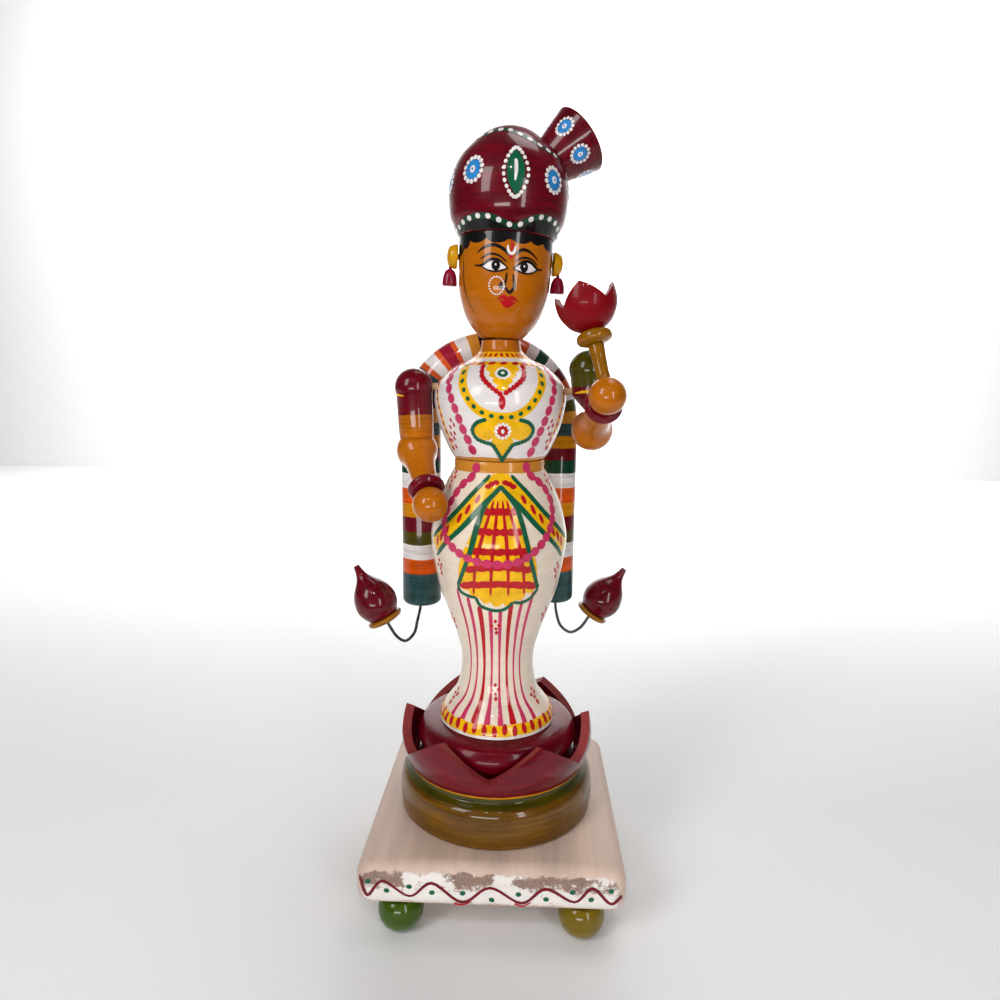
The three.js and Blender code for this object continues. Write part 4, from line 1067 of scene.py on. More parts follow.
class DOLL_OT_make_pedestal(bpy.types.Operator):
    """The plinth, the bowl sawn into six petals and the seat inside it."""
    bl_idname = "doll.make_pedestal"
    bl_label = "Lotus pedestal"

    def execute(self, context):
        look = colours()
        low, high = span("plinth")
        radius = 46.5
        band = 18.5
        plinth = turned("turned_plinth", [
            (0, low), (radius - 1.3, low), *smooth([
                (radius - 0.6, low + 0.9), (radius, band * 0.45), (radius - 0.6, band * 0.78),
                (radius - 1.6, band * 0.93), (radius - 2.9, band)], 8),
            (41.6, band + 0.5), (41.0, band + 1.1), (41.2, high), (0, high)])
        # The ring is olive lacquer; the darker moss over its top and the neck is painted shade under the
        # bowl's overhang.
        lacquered(plinth, FIGURE, "olive_plinth", [(0, look.olive), (band - 0.4, look.moss)], "stand",
                  "olive_lacquer", "plinth", depth=0.5)

        low, high = span("lotus_bowl")
        rise = high - low
        foot, widest, mouth, wall, floor = 42.4, 45.8, 44, 4.2, 5.4
        outside = smooth([(foot, low), (widest - 0.9, low + rise * 0.26), (widest, low + rise * 0.55),
                          (mouth, high)], 12)
        inside = smooth([(mouth - wall, high), (widest - wall, low + rise * 0.55),
                         (widest - wall - 1, low + rise * 0.34), (37.4, low + floor)], 10)
        bowl = turned("lotus_petal_bowl", [(0, low), *outside, *inside, (0, low + floor)], softened=False)
        bare_edge = 0.9
        bowl.data.materials.append(lacquer(
            "maroon_bowl", FIGURE, [(low, look.ochre), (low + bare_edge, look.maroon)], depth=0.45))
        cut_petals(bowl, cut_wood("sawn_petal_edges", look.dull_red), 6, -2, high, 17, mouth)
        settle(bowl, FIGURE)
        dress(bowl, None, "stand", "maroon_lacquer", "lotus_bowl")

        low, high = span("lotus_seat")
        seat = turned("lotus_seat_disc", [(0, low), *smooth([
            (35, low), (38, low + (high - low) * 0.45), (36, high - 1.6), (33, high)], 8), (0, high)])
        lacquered(seat, FIGURE, "maroon_seat", [(0, look.maroon)], "stand", "maroon_lacquer", "lotus_seat",
                  depth=0.4, coat=0.2)
        return {"FINISHED"}


class DOLL_OT_make_skirt(bpy.types.Operator):
    """The turned skirt with its waist band."""
    bl_idname = "doll.make_skirt"
    bl_label = "Skirt"

    def execute(self, context):
        look = colours()
        low, high = span("skirt")
        outline = skirt_outline()
        band = outline[-1][1]
        skirt = turned("painted_skirt", [
            (0, low), *outline, (WAIST_RADIUS, band + 0.6), (WAIST_RADIUS, high), (0, high)])
        settle(skirt, FIGURE)
        dress(skirt, ground_paint("skirt_ground", FIGURE, [(low, look.cream), (band + 0.2, look.ochre)],
                                  0.15),
              "stand", "cream_paint", "skirt")
        return {"FINISHED"}


class DOLL_OT_make_skirt_painting(bpy.types.Operator):
    """The sash, its pleated end, the bead garland, the stripes and the hem."""
    bl_idname = "doll.make_skirt_painting"
    bl_label = "Skirt painting"

    def execute(self, context):
        low, high = span("skirt")
        waist = [(WAIST_RADIUS, high - WAIST_BAND + 0.6), (WAIST_RADIUS, high)]
        work = Brushwork(TurnedSurface([*skirt_outline(), *waist], FIGURE))

        # The sash: two yellow bands that part below the waist, edged in green, with red dashes.
        shift = 3.6
        for side in (-1, 1):
            outer = [(shift + side * 12, 161.2), (shift + side * 27, 154), (shift + side * 45, 143.5),
                     (shift + side * 70, 132)]
            inner = [(shift, 155.2), (shift + side * 17, 148.5), (shift + side * 35, 138),
                     (shift + side * 64, 124)]
            middle = [tuple((a + b) / 2 for a, b in zip(o, i)) for o, i in zip(outer, inner)]
            work.stroke("yellow", [(shift + side * 3, 159.4), *middle], [7.2, 6.8, 6.8, 6.6, 7], "flat", 1, 5)
            work.stroke("green", outer, [1.7, 2.1, 2.2, 1.8], layer=3)
            work.stroke("green", [(shift - side, 157), *inner[1:]], [2.0, 2.4, 2.3, 1.7], layer=3)
            for turn, up, tall, lean in ((22, 151.2, 3.4, 34), (30, 146.8, 4, 30), (37, 142.8, 4, 28),
                                         (49, 136.8, 4.4, 24), (55, 134, 4.4, 20), (61, 131.2, 4.2, 18)):
                work.dab("red", shift + side * turn, up, 2.0, tall * 1.15, lean=-side * lean * 0.6, layer=2)
            for turn, up in ((5, 158.2), (9, 157.6), (13, 156.6)):
                work.dab("red", shift + side * turn, up, 3.0, 2.1, layer=2)
        work.dab("yellow", shift, 159.6, 9, 5)

        # The pleated end: yellow, widening downwards, with rows and pleats in red and a scalloped foot.
        for across, foot in ((-31, 111), (-22, 108), (-12, 105.6), (-2, 104.2), (8, 104.6), (18, 107),
                             (28, 110)):
            work.stroke("yellow", [(3 + across * 0.1, 154.4), (3 + across * 0.5, 140),
                                   (3 + across * 0.92, 122), (3 + across, foot)], [1.6, 4.4, 6.6, 6.8],
                        "round", 1, 5)
        left = [(1.6, 156), (-10, 149), (-15.5, 141), (-20, 130), (-27, 121), (-35.5, 112.4)]
        right = [(4.6, 156), (17, 148.6), (21.6, 141), (27, 128), (33, 119), (39, 111.4)]
        work.stroke("green", left, [1.2, 2.0, 2.7, 2.3, 1.9, 1.8], layer=3)
        work.stroke("green", right, [1.2, 2.0, 2.3, 2.0, 1.9, 1.8], layer=3)
        foot_line = [(-35.5, 112.4), (-33, 109.8), (-25, 108.4), (-18, 108.2)]
        work.stroke("green", foot_line, 1.3, layer=3)
        work.stroke("green", [(-18, 108.2), (-15, 104.6), (-7, 102.8), (1, 102.2), (9, 103.2), (16, 106.4)],
                    1.4, layer=3)
        work.stroke("green", [(16, 106.4), (24, 105.8), (33, 107.6), (39, 111.4)], 1.3, layer=3)
        rows = [(146.4, 12, 5), (138, 15, 6), (129.6, 19, 7), (122.8, 24, 7), (115, 29, 8)]
        for up, half, count in rows:
            for i in range(count):
                share = 2 * i / (count - 1) - 1
                work.dab("red", 3.2 + half * share, up - 1.6 * share * share * (up < 125), 3.3,
                         4.2 * half / 15, lean=90 + (i * 37) % 22 - 11, layer=2)
        for across in (-0.75, -0.25, 0.25, 0.72):
            work.stroke("red", [(3.2 + across * 8, 151), (3.2 + across * 18, 137), (3.2 + across * 27, 121),
                                (3.2 + across * 31, 109.5)], [1.0, 1.5, 1.4, 0.9], layer=2)

        # The garland of rose beads hangs in front of all of it.
        garland = [(-25, high - 0.6), (-26.5, 164.6), (-31, 160), (-41, 156), (-47, 150.5), (-50, 144.5),
                   (-50, 138.5), (-45, 133.5), (-36, 129.6), (-24, 126.4), (-10, 124.6), (4, 124.2),
                   (18, 125.2), (30, 128.6), (40, 133), (49, 138), (56, 144), (59, 150), (55, 155.6),
                   (45, 159.4), (38, 162), (36.4, 164.6), (36.6, high - 0.6)]
        work.row_of_dabs("rose", garland, 3.9, 4.4, 4.6, layer=4)

        # Eight stripes from the pleats to the hem.
        tops = (-37, -26.5, -16, -5.5, 4.5, 14.5, 24.5, 34.5)
        feet = (-53, -37, -22, -8, 6, 19.5, 32.5, 46)
        starts = (111, 108.4, 104, 102.6, 103, 106.6, 107.2, 110.6)
        for i, (top, foot, start) in enumerate(zip(tops, feet, starts)):
            wide = (0.9, 1.1, 1.5, 1.2, 1.1, 1.3, 1.0, 1.0)[i]
            middle = (top + foot) / 2
            colour = "red" if i in (2, 5) else "rose"
            work.stroke(colour, [(top, start), (top * 0.98, 92), (middle * 0.96, 72), (middle * 1.02, 60),
                                 (foot * 0.98, 52), (foot, 47.8)],
                        [wide, wide * 1.1, wide * 0.8, wide, wide * 1.5, wide * 1.9], layer=1)

        # Small sprigs of dots, in front and on to the back.
        sprigs = [(-0.5, 93.6), (-0.8, 61), (-70, 54), (62, 56), (-58, 119), (62, 118), (-62, 158), (70, 157),
                  (64, 96), (-64, 92), (110, 140), (-110, 140), (150, 120), (-150, 120), (180, 145),
                  (110, 100), (-110, 100), (180, 95), (140, 62), (-140, 62)]
        for across, up in sprigs:
            scale = work.surface.per_unit(up)
            for side, rise, tall in ((0, 3, 1.7), (1.5, 1, 1.9), (-1.6, 0.6, 1.6), (0.2, -0.9, 1.5),
                                     (0.4, -3, 2)):
                work.dab("red", across + side / scale, up + rise, 1.5, tall, lean=side * 14, layer=2)

        # The hem: yellow with red dashes, above a thin white rim.
        hem_dabs = 36
        work.stroke("yellow", [(a, 45.8 + 0.3 * math.sin(a * 0.31)) for a in range(-180, 181, 12)], 4.5,
                    "flat", 2, 2)
        for i in range(hem_dabs):
            across = -180 + 360 * i / hem_dabs
            work.dab("yellow", across + 5, 46.8, 2.6, 2.4, layer=2)
            work.dab("red", across, 46 + 0.5 * math.sin(i * 2.4), 2.3, 4.4, lean=8 * math.sin(i * 1.7),
                     layer=3)
        work.stroke("white", [(a, low + 0.9) for a in range(-180, 181, 12)], 1.3, "flat", 1, 2)
        work.lay("skirt_painting", "stand")
        return {"FINISHED"}


class DOLL_OT_make_torso(bpy.types.Operator):
    """The turned torso and neck."""
    bl_idname = "doll.make_torso"
    bl_label = "Torso"

    def execute(self, context):
        look = colours()
        low, high = span("torso")
        torso = turned("painted_torso", [(0, low), *torso_outline(), (0, high)])
        settle(torso, FIGURE)
        rows = [(low, look.ochre), (low + 1.6, look.white), (low + 45.3, look.flesh)]
        dress(torso, ground_paint("torso_ground", FIGURE, rows, 0.5), "stand", "cream_paint", "torso")
        return {"FINISHED"}


class DOLL_OT_make_torso_painting(bpy.types.Operator):
    """Necklaces, pendants, the garland's upper run and the side strips."""
    bl_idname = "doll.make_torso_painting"
    bl_label = "Torso painting"

    def execute(self, context):
        low = span("torso")[0]
        work = Brushwork(TurnedSurface(torso_outline(), FIGURE))
        around = range(-180, 181, 15)
        work.stroke("yellow", [(a, 212.6) for a in around], 2.6, "flat", 1, 2)
        for i in range(30):
            work.dab("red", i * 12 + 4, 212.4, 1.2, 1.8, lean=(i * 53) % 50 - 25, layer=2)
        work.stroke("yellow", [(a, 208.6) for a in range(-100, 101, 10)], [0.4] + [1.5] * 19 + [0.4],
                    "flat", 1, 2)
        for across in (-62, -50, -38, -24, -9, 6, 22, 36, 50, 64, 78):
            work.dab("red", across, 208.7, 1.3, 3.2, lean=80, layer=2)

        # The triangular pendant.
        for across, up, wide in ((4.5, 206.6, 14), (4.4, 204, 11.4), (4.2, 201.4, 8.4), (4, 198.8, 5)):
            half = wide / 2 / work.surface.per_unit(up)
            work.stroke("yellow", [(across - half, up), (across + half, up)], 3.2, layer=1)
        work.row_of_dabs("red", [(-19, 208), (-15, 203), (-5, 198.6), (3, 195.6)], 2.1, 1.9, 2.3, layer=3)
        work.row_of_dabs("red", [(29, 208), (24, 203), (13, 198.6), (4, 195.6)], 2.1, 1.9, 2.3, layer=3)
        work.dab("white", 4.2, 204.4, 6, 4.6, layer=2)
        work.ring_of_dabs("white", 4.2, 204.4, 2.6, 9, 1.2, 2, 0.8)
        work.dab("green", 4.2, 204.4, 4.2, 3.2, layer=3)
        work.dab("white", 4.2, 204.4, 1.6, 1.1, layer=4)
        work.dab("red", 3.6, 192.6, 2.9, 6, layer=2)

        # The yellow collar necklace with green dots.
        collar = [(-48, 210), (-38, 204.5), (-31, 199), (-25, 194), (-17, 189.6), (-7, 187.2), (4, 186.4),
                  (15, 187), (25, 189.8), (33, 194.6), (41, 200.4), (48, 205), (60, 210)]
        work.stroke("yellow", collar, 3.9, "flat", 1, 5)
        work.row_of_dabs("green", collar, 1.9, 4.2, 2.1, layer=2)

        # The trefoil brooch, edged in green beads, with a white rosette.
        for across, up, wide, tall in ((4.6, 181.4, 13.5, 11.6), (-11, 181, 11, 8.8), (21, 181, 11, 8.8),
                                       (4.8, 175, 10.4, 9), (5, 171.2, 5.4, 6.4)):
            work.dab("yellow", across, up, wide, tall)
        work.row_of_dabs("green", [(-10, 185.4), (-18, 184), (-23, 180.8), (-20, 177.2), (-12, 175.6),
                                   (-5, 174.6), (-1, 172), (5, 167.9)], 1.9, 1.5, 2.3, layer=2)
        work.row_of_dabs("green", [(19, 185.4), (28, 184), (33, 180.8), (30, 177.2), (22, 175.6), (15, 174.6),
                                   (11, 172), (5, 167.9)], 1.9, 1.5, 2.3, layer=2)
        work.dab("white", 4.6, 180.6, 6.6, 6, layer=2)
        work.ring_of_dabs("white", 4.6, 180.6, 3.1, 12, 1.3, 2)
        work.dab("red", 4.6, 180.6, 4.2, 4.2, layer=3)
        work.ring_of_dabs("red", 4.6, 180.6, 2.0, 9, 1.1, 3)
        work.dab("white", 4.6, 180.6, 1.5, 2, layer=4)

        # The garland of rose beads comes down over both shoulders.
        for side, run in ((-1, [(-74, 209.4), (-58, 205), (-48, 199), (-41, 192.6), (-36, 186),
                                (-32, 179.4), (-28, 173), (-25.5, low + 0.9)]),
                          (1, [(80, 209.4), (64, 204.6), (55, 198.6), (49, 192), (45, 185.6), (41, 179),
                               (38, 173), (36.8, low + 0.9)])):
            work.row_of_dabs("rose", run, 3.7, 4.6, 4.4, layer=3)
            strip = [(side * 86 + 3, 207), (side * 72 + 3, 199), (side * 66 + 3, 190), (side * 62 + 3, 181),
                     (side * 60 + 3, 171)]
            work.stroke("yellow", strip, [1.2, 1.8, 1.9, 1.7, 1.2], "round", 1, 5)
            work.row_of_dabs("red", strip, 1.5, 3.6, 1.9, layer=2)
            for across, up in ((50, 182), (55, 176)):
                for shift, rise in ((0, 2.6), (3, 0.6), (-2.6, -0.4), (1.2, -3)):
                    work.dab("red", side * across + 4 + shift, up + rise, 1.1, 1.9, lean=side * 20, layer=2)

        # The back is plainer: a row of sprigs under the collar.
        for across in (-150, -120, 120, 150, 180):
            for shift, rise in ((0, 2.6), (3, 0.4), (-3, 0.4), (0, -2)):
                work.dab("red", across + shift, 190 + rise, 1.5, 2, layer=2)
        work.lay("torso_painting", "stand")
        return {"FINISHED"}


class DOLL_OT_make_head(bpy.types.Operator):
    """The turned head, the turban with its knob, the ears and the earrings."""
    bl_idname = "doll.make_head"
    bl_label = "Head and turban"

    def execute(self, context):
        look = colours()
        place = head_place()
        outline = head_outline()
        head = turned("painted_head", [(0, outline[0][1]), *outline, (8, HEAD_TOP), (8, HEAD_TOP + 9),
                                       (0, HEAD_TOP + 9)])
        lacquered(head, place, "face_lacquer", [(0, look.flesh)], "head_group", "flesh_lacquer", "head",
                  depth=0.12)

        knob_at = knob_place()
        turban = turned("painted_turban", [(0, TURBAN_BOTTOM), *turban_outline()])
        settle(turban, place)
        deselect()
        bpy.ops.mesh.primitive_cylinder_add(vertices=48, radius=(KNOB_WIDE + 8) * MM, depth=KNOB_LENGTH * MM)
        plane = bpy.context.object
        settle(plane, knob_at @ Matrix.Translation((0, 0, KNOB_LENGTH / 2 * MM)))
        choose(turban)
        bpy.ops.object.modifier_add(type="BOOLEAN")
        facet = turban.modifiers[-1]
        facet.operation, facet.solver, facet.object = "DIFFERENCE", "EXACT", plane
        bpy.ops.object.modifier_apply(modifier=facet.name)
        bpy.data.objects.remove(plane)
        dress(turban, lacquer("turban_lacquer", place, [(0, look.maroon)], depth=0.5), "head_group",
              "maroon_lacquer", "turban")

        crown = 2.6
        top = GAP + KNOB_LENGTH
        knob = turned("painted_turban_knob", [(0, GAP), *knob_outline(), *smooth([
            (KNOB_WIDE - 0.6, top), (KNOB_WIDE * 0.5, top + crown * 0.75), (0, top + crown)], 8)], 112)
        lacquered(knob, knob_at, "knob_lacquer", [(0, look.maroon)], "head_group", "maroon_lacquer",
                  "turban_knob", depth=0.5)

        face_at = HEAD_RADIUS + 0.5
        ear_radius, ear_dome = 5.4, 4.8
        earring_radius, earring_height, peg = 3.3, 7.4, 0.8
        earring_top = EAR_HEIGHT - 5.3
        for name, side in (("right", -1), ("left", 1)):
            ear_at = place @ aimed((0, 0, EAR_HEIGHT), (side, 0, 0))
            ear = turned(f"turned_ear_{name}", [
                (0, face_at - 6), (1.2, face_at - 6), (1.2, face_at), (ear_radius - 0.4, face_at), *smooth([
                    (ear_radius, face_at + 0.8), (ear_radius * 0.72, face_at + ear_dome * 0.8),
                    (0, face_at + ear_dome)], 8)], 64)
            lacquered(ear, ear_at, f"ear_lacquer_{name}", [(0, look.yellow_lacquer)], "head_group",
                      "yellow_lacquer", f"ear_{name}", depth=0.25)
            hang = place @ Matrix.Translation((side * (HEAD_RADIUS - 0.2 + GAP + earring_radius) * MM, 0, 0))
            foot = earring_top - earring_height
            bell = turned(f"bell_earring_{name}", [
                (0, foot), (earring_radius - 0.5, foot), *smooth([
                    (earring_radius, foot + 0.7), (earring_radius * 0.9, earring_top - earring_height * 0.45),
                    (earring_radius * 0.62, earring_top - 0.9), (peg, earring_top)], 8),
                (peg, earring_top + 2.4), (0, earring_top + 2.4)], 56)
            lacquered(bell, hang, f"earring_lacquer_{name}", [(0, look.earring)], "head_group",
                      "maroon_lacquer", f"earring_{name}", depth=0.35)
        return {"FINISHED"}


class DOLL_OT_make_face_painting(bpy.types.Operator):
    """Hair, brows, eyes, nose, nose ring, lips and forehead mark."""
    bl_idname = "doll.make_face_painting"
    bl_label = "Face painting"

    def execute(self, context):
        work = Brushwork(TurnedSurface(head_outline(), head_place()))

        # Hair: a black fringe in scallops under the turban, deeper at the sides, down over the back.
        fringe = [(-92, 38), (-80, 38.4), (-70, 39.6), (-56, 41), (0, 41.2), (52, 41), (66, 39.6),
                  (78, 38.4), (92, 38)]
        work.stroke("black", fringe, [9.4, 9, 6.4, 3.4, 3.2, 3.4, 6.4, 9, 9.4], "flat", 1, 6)
        for across, up, wide, tall in ((-74, 37.4, 5, 6), (-63, 39, 5.6, 5.2), (-44, 40.6, 9, 4.6),
                                       (-18, 40.5, 9.4, 4.8), (10, 40.6, 9, 4.6), (31, 40.7, 7, 4.2),
                                       (52, 40, 7, 4.8), (68, 38.2, 5, 5.6)):
            work.dab("black", across, up, wide, tall)
        work.stroke("black", [(92, 38), (120, 36), (150, 34.6), (180, 34), (210, 34.6), (240, 36), (268, 38)],
                    [9.4, 13.6, 16.4, 17.6, 16.4, 13.6, 9.4], "flat", 1, 6)
        for across in range(108, 253, 16):
            work.dab("black", across, 27.4, 6.4, 4.6)

        # The thin line beside each cheek.
        for side in (-1, 1):
            work.stroke("black", [(side * 67, 35.6), (side * 67.5, 30), (side * 65, 21), (side * 60, 14.6),
                                  (side * 53, 10.4)], 0.5, "leaf")

        # Brows and lids.
        work.stroke("black", [(-43, 34.2), (-32, 36.6), (-20.5, 37.2), (-10, 35.6), (-2.2, 33.2)],
                    [0.4, 1.0, 1.3, 1.3, 0.9], "round", 2)
        work.stroke("black", [(3.4, 33.6), (11.5, 36), (22, 35.4), (34, 32.8)], [0.9, 1.2, 0.9, 0.4],
                    "round", 2)
        work.stroke("black", [(-38, 31.6), (-27, 33.7), (-15, 33), (-6, 30.6)], [0.4, 0.8, 0.8, 0.5],
                    "round", 2)
        work.stroke("black", [(4, 31), (13, 32.9), (24, 32.6), (34, 30.6)], [0.5, 0.8, 0.7, 0.4], "round", 2)

        # Eyes: white almonds between black lines, with round pupils.
        for outer, inner, pupil, tail in ((-36, -5.5, -18.4, -46), (34, 3.5, 15.2, 43)):
            middle = (outer + inner) / 2
            way = math.copysign(1, outer)
            work.stroke("white", [(outer, 28.9), (middle, 29.4), (inner, 28.5)], [3.6, 4.6, 3.4], "leaf", 1,
                        8)
            work.stroke("black", [(tail, 29.4), (outer, 29.2), (middle + way * 5, 31.3),
                                  (middle - way * 5, 31.3), (inner - way * 1.5, 28.2)],
                        [0.4, 0.9, 1.1, 1.0, 0.5], "round", 3, 7)
            work.stroke("black", [(outer, 28.8), (middle + way * 5, 27), (middle - way * 6, 26.9),
                                  (inner - way * 1.5, 28.2)], [0.6, 0.6, 0.6, 0.5], "round", 3, 7)
            work.dab("black", pupil, 29.2, 3.7, 4.2, layer=2)
            work.dab("white", pupil, 29.5, 0.8, 0.9, layer=4)

        # Nose, ring and lips.
        work.stroke("black", [(-5, 26.4), (-5.8, 23.6), (-6.4, 21.6)], [0.6, 0.9, 0.8], "round", 2)
        work.stroke("black", [(2.6, 26), (4, 23), (4.8, 21.2), (3.2, 20)], [0.6, 0.9, 1.2, 1.0], "round", 2)
        work.stroke("black", [(-10.6, 22.6), (-11.4, 21.2), (-8.6, 20.4), (-6, 20.6), (-3.4, 19.4),
                              (-0.6, 18.8), (2, 19.4), (4.6, 20.8)],
                    [0.9, 1.7, 1.6, 0.9, 1.1, 1.3, 1.2, 1.0], "round", 2)
        work.ring_of_dabs("white", -16.6, 21.2, 3.1, 19, 0.75, 3, 1.12)
        work.stroke("red", [(-16, 15.8), (-7.5, 16.9), (-2, 16), (3.6, 16.7), (12.4, 15.2)],
                    [1.0, 1.9, 1.5, 1.9, 0.9], "leaf", 2)
        work.stroke("red", [(-12.5, 15.4), (-2, 14.3), (9, 15)], [1.3, 3.4, 1.3], "leaf", 2)

        # The forehead mark.
        work.stroke("white", [(-5.6, 37.4), (-4.6, 35), (-1.2, 34), (2.4, 35), (3.4, 37.2)],
                    [0.6, 1.1, 1.2, 1.1, 0.6], "round", 2)
        work.stroke("red", [(-1.9, 39.3), (-0.6, 37.4), (-1.1, 35.2)], [0.4, 1.0, 0.8], "round", 3)
        work.dab("red", -1.3, 32.8, 1.5, 1.5, layer=3)
        work.lay("face_painting", "head_group")
        return {"FINISHED"}


def flower(work, across, up, size):
    """A blue flower with a white eye and a ring of white petals."""
    work.dab("blue", across, up, size * 1.5, size * 1.72, layer=1)
    work.ring_of_dabs("blue", across, up, size * 0.78, 10, size * 0.42, 1, 1.1)
    work.ring_of_dabs("white", across, up, size * 1.06, 14, size * 0.44, 2, 1.12)
    work.dab("white", across, up, size * 0.6, size * 0.72, layer=3)
    work.dab("blue", across, up, size * 0.2, size * 0.26, layer=4)


class DOLL_OT_make_turban_painting(bpy.types.Operator):
    """Flowers, the leaf, the wavy border and the dotted line over the top."""
    bl_idname = "doll.make_turban_painting"
    bl_label = "Turban painting"

    def execute(self, context):
        work = Brushwork(TurnedSurface(turban_outline(), head_place()))
        for turn in (0, 120, 240):
            flower(work, -43.5 + turn, 65.8, 4.1)
            flower(work, 36.8 + turn, 64, 4.1)
            leaf = [(-3.2 + turn, 73.2), (-2.8 + turn, 69.6), (-2.4 + turn, 65), (-1.9 + turn, 60.4),
                    (-1 + turn, 56)]
            work.stroke("green", leaf, [1.6, 5.8, 7.4, 5.8, 1.4], "round", 1, 6)
            work.stroke("white", [(-2.8 + turn, 69.6), (-2.2 + turn, 65.4), (-2.8 + turn, 61)],
                        [1.3, 1.5, 0.7], "round", 2)
            for i in range(24):
                angle = 2 * math.pi * (i + 0.5) / 24
                wide = 5 * math.sin(angle) * (1 - 0.3 * math.cos(angle) ** 2)
                work.dab("white", -2.2 + turn + wide / work.surface.per_unit(64),
                         64.6 + 9.7 * math.cos(angle), 1.5, 1.7, lean=math.degrees(angle) + 90, layer=3)

        # The border: black below a dark green wave, with white dots along the wave.
        wave = [(-112, 47.6), (-90, 45.2), (-73.4, 45.4), (-62, 46.6), (-50.7, 47.6), (-37.3, 48.2),
                (-25.4, 47.8), (-13.2, 46.2), (0.8, 44.8), (12.4, 47), (24.3, 48.9), (37.3, 49.2),
                (52.5, 48.1), (64, 46.4), (80, 45.2), (96, 46.6), (112, 48.4)]
        hem = TURBAN_BOTTOM + 0.3
        for run in (wave, [(112, 48.4), (135, 46), (160, 48.4), (185, 46), (210, 48.4), (235, 45.6),
                           (248, 47.6)]):
            work.stroke("black", [(a, (up + hem) / 2) for a, up in run], [up - hem for a, up in run],
                        "flat", 1, 5)
            work.stroke("forest", run, 2.2, "round", 2, 5)
            work.row_of_dabs("white", run, 2.0, 4.6, 2.3, layer=3)

        # The dotted line that slants over the top to the knob.
        slant = [(-62, 80.4), (-40, 83), (-14, 83.4), (6, 81), (24, 77.8), (42, 75.6), (58, 74.6)]
        work.stroke("forest", slant, 2.2, "round", 1, 4)
        work.row_of_dabs("white", slant, 1.9, 4.2, 2.3, layer=2)
        work.lay("turban_painting", "head_group")

        knob = Brushwork(TurnedSurface(knob_outline(), knob_place()))
        for across in range(0, 360, 60):
            flower(knob, across + KNOB_FLOWER_TURN, 9.4 + 1.2 * (across // 60 % 2), 3.1)
        knob.lay("knob_painting", "head_group")
        return {"FINISHED"}


def scarf_rows(look, low):
    """The coloured bands of a hanging scarf end: (lower edge, colour), from its tip up."""
    tall = [("teal", 16.8), ("orange", 7.3), ("white", 7.4), ("moss", 6.4), ("maroon", 7.4), ("ochre", 6.8),
            ("orange", 7.4), ("white", 7.4), ("forest", 6.4), ("maroon", 5.8), ("ochre", 6.0), ("teal", 7)]
    rows, at = [], low
    for name, height in tall:
        rows.append((at, getattr(look, name)))
        at += height
    return rows


class DOLL_OT_make_scarf(bpy.types.Operator):
    """The banded scarf: an arch behind the neck and two hanging ends."""
    bl_idname = "doll.make_scarf"
    bl_label = "Scarf"

    def execute(self, context):
        look = colours()
        place = scarf_place()
        spring = span("scarf_end_left")[1] + GAP
        deselect()
        bpy.ops.mesh.primitive_circle_add(vertices=56, radius=SCARF_RADIUS * MM, fill_type="NGON",
                                          location=(SCARF_HALF_SPAN * MM, 0, 0))
        arch = bpy.context.object
        arch.name = arch.data.name = "banded_scarf_arch"
        bpy.ops.object.transform_apply(location=True, rotation=True, scale=True)
        bpy.ops.object.mode_set(mode="EDIT")
        bpy.ops.mesh.select_all(action="SELECT")
        bpy.ops.mesh.spin(steps=72, angle=math.pi, center=(0, 0, 0), axis=(0, 1, 0))
        bpy.ops.mesh.select_all(action="SELECT")
        bpy.ops.mesh.remove_doubles(threshold=MERGE_METRES)
        face_outwards()
        smooth_shading(arch, TURNED_SMOOTH)
        at = place @ Matrix.Translation((0, 0, spring * MM))
        settle(arch, at)
        names = [("ochre", 0), ("maroon", 14), ("teal", 30), ("orange", 37.5), ("white", 41.5),
                 ("orange", 49.5), ("crimson", 53.5), ("orange", 61.5), ("white", 65), ("ochre", 73),
                 ("black", 80), ("ochre", 93), ("orange", 101), ("white", 115.5), ("forest", 123.5),
                 ("white", 131.5), ("maroon", 140), ("orange", 149), ("white", 156), ("moss", 163),
                 ("ochre", 171)]
        rows = [(edge, getattr(look, name)) for name, edge in names]
        dress(arch, arch_bands("scarf_arch_bands", at, rows), "stand", "striped_lacquer", "scarf_arch")

        for name, side in (("right", -1), ("left", 1)):
            node = f"scarf_end_{name}"
            low, high = span(node)
            tip = [(r + SCARF_RADIUS - 3, z) for r, z in arc(3, low + 3, -90, 0, 8)]
            end = turned(f"banded_{node}", [(0, low), *tip, (SCARF_RADIUS, high), (0, high)], 112)
            end_at = place @ Matrix.Translation((side * SCARF_HALF_SPAN * MM, 0, 0))
            lacquered(end, end_at, f"{node}_bands", scarf_rows(look, low), "stand", "striped_lacquer", node,
                      depth=0.3)
        return {"FINISHED"}


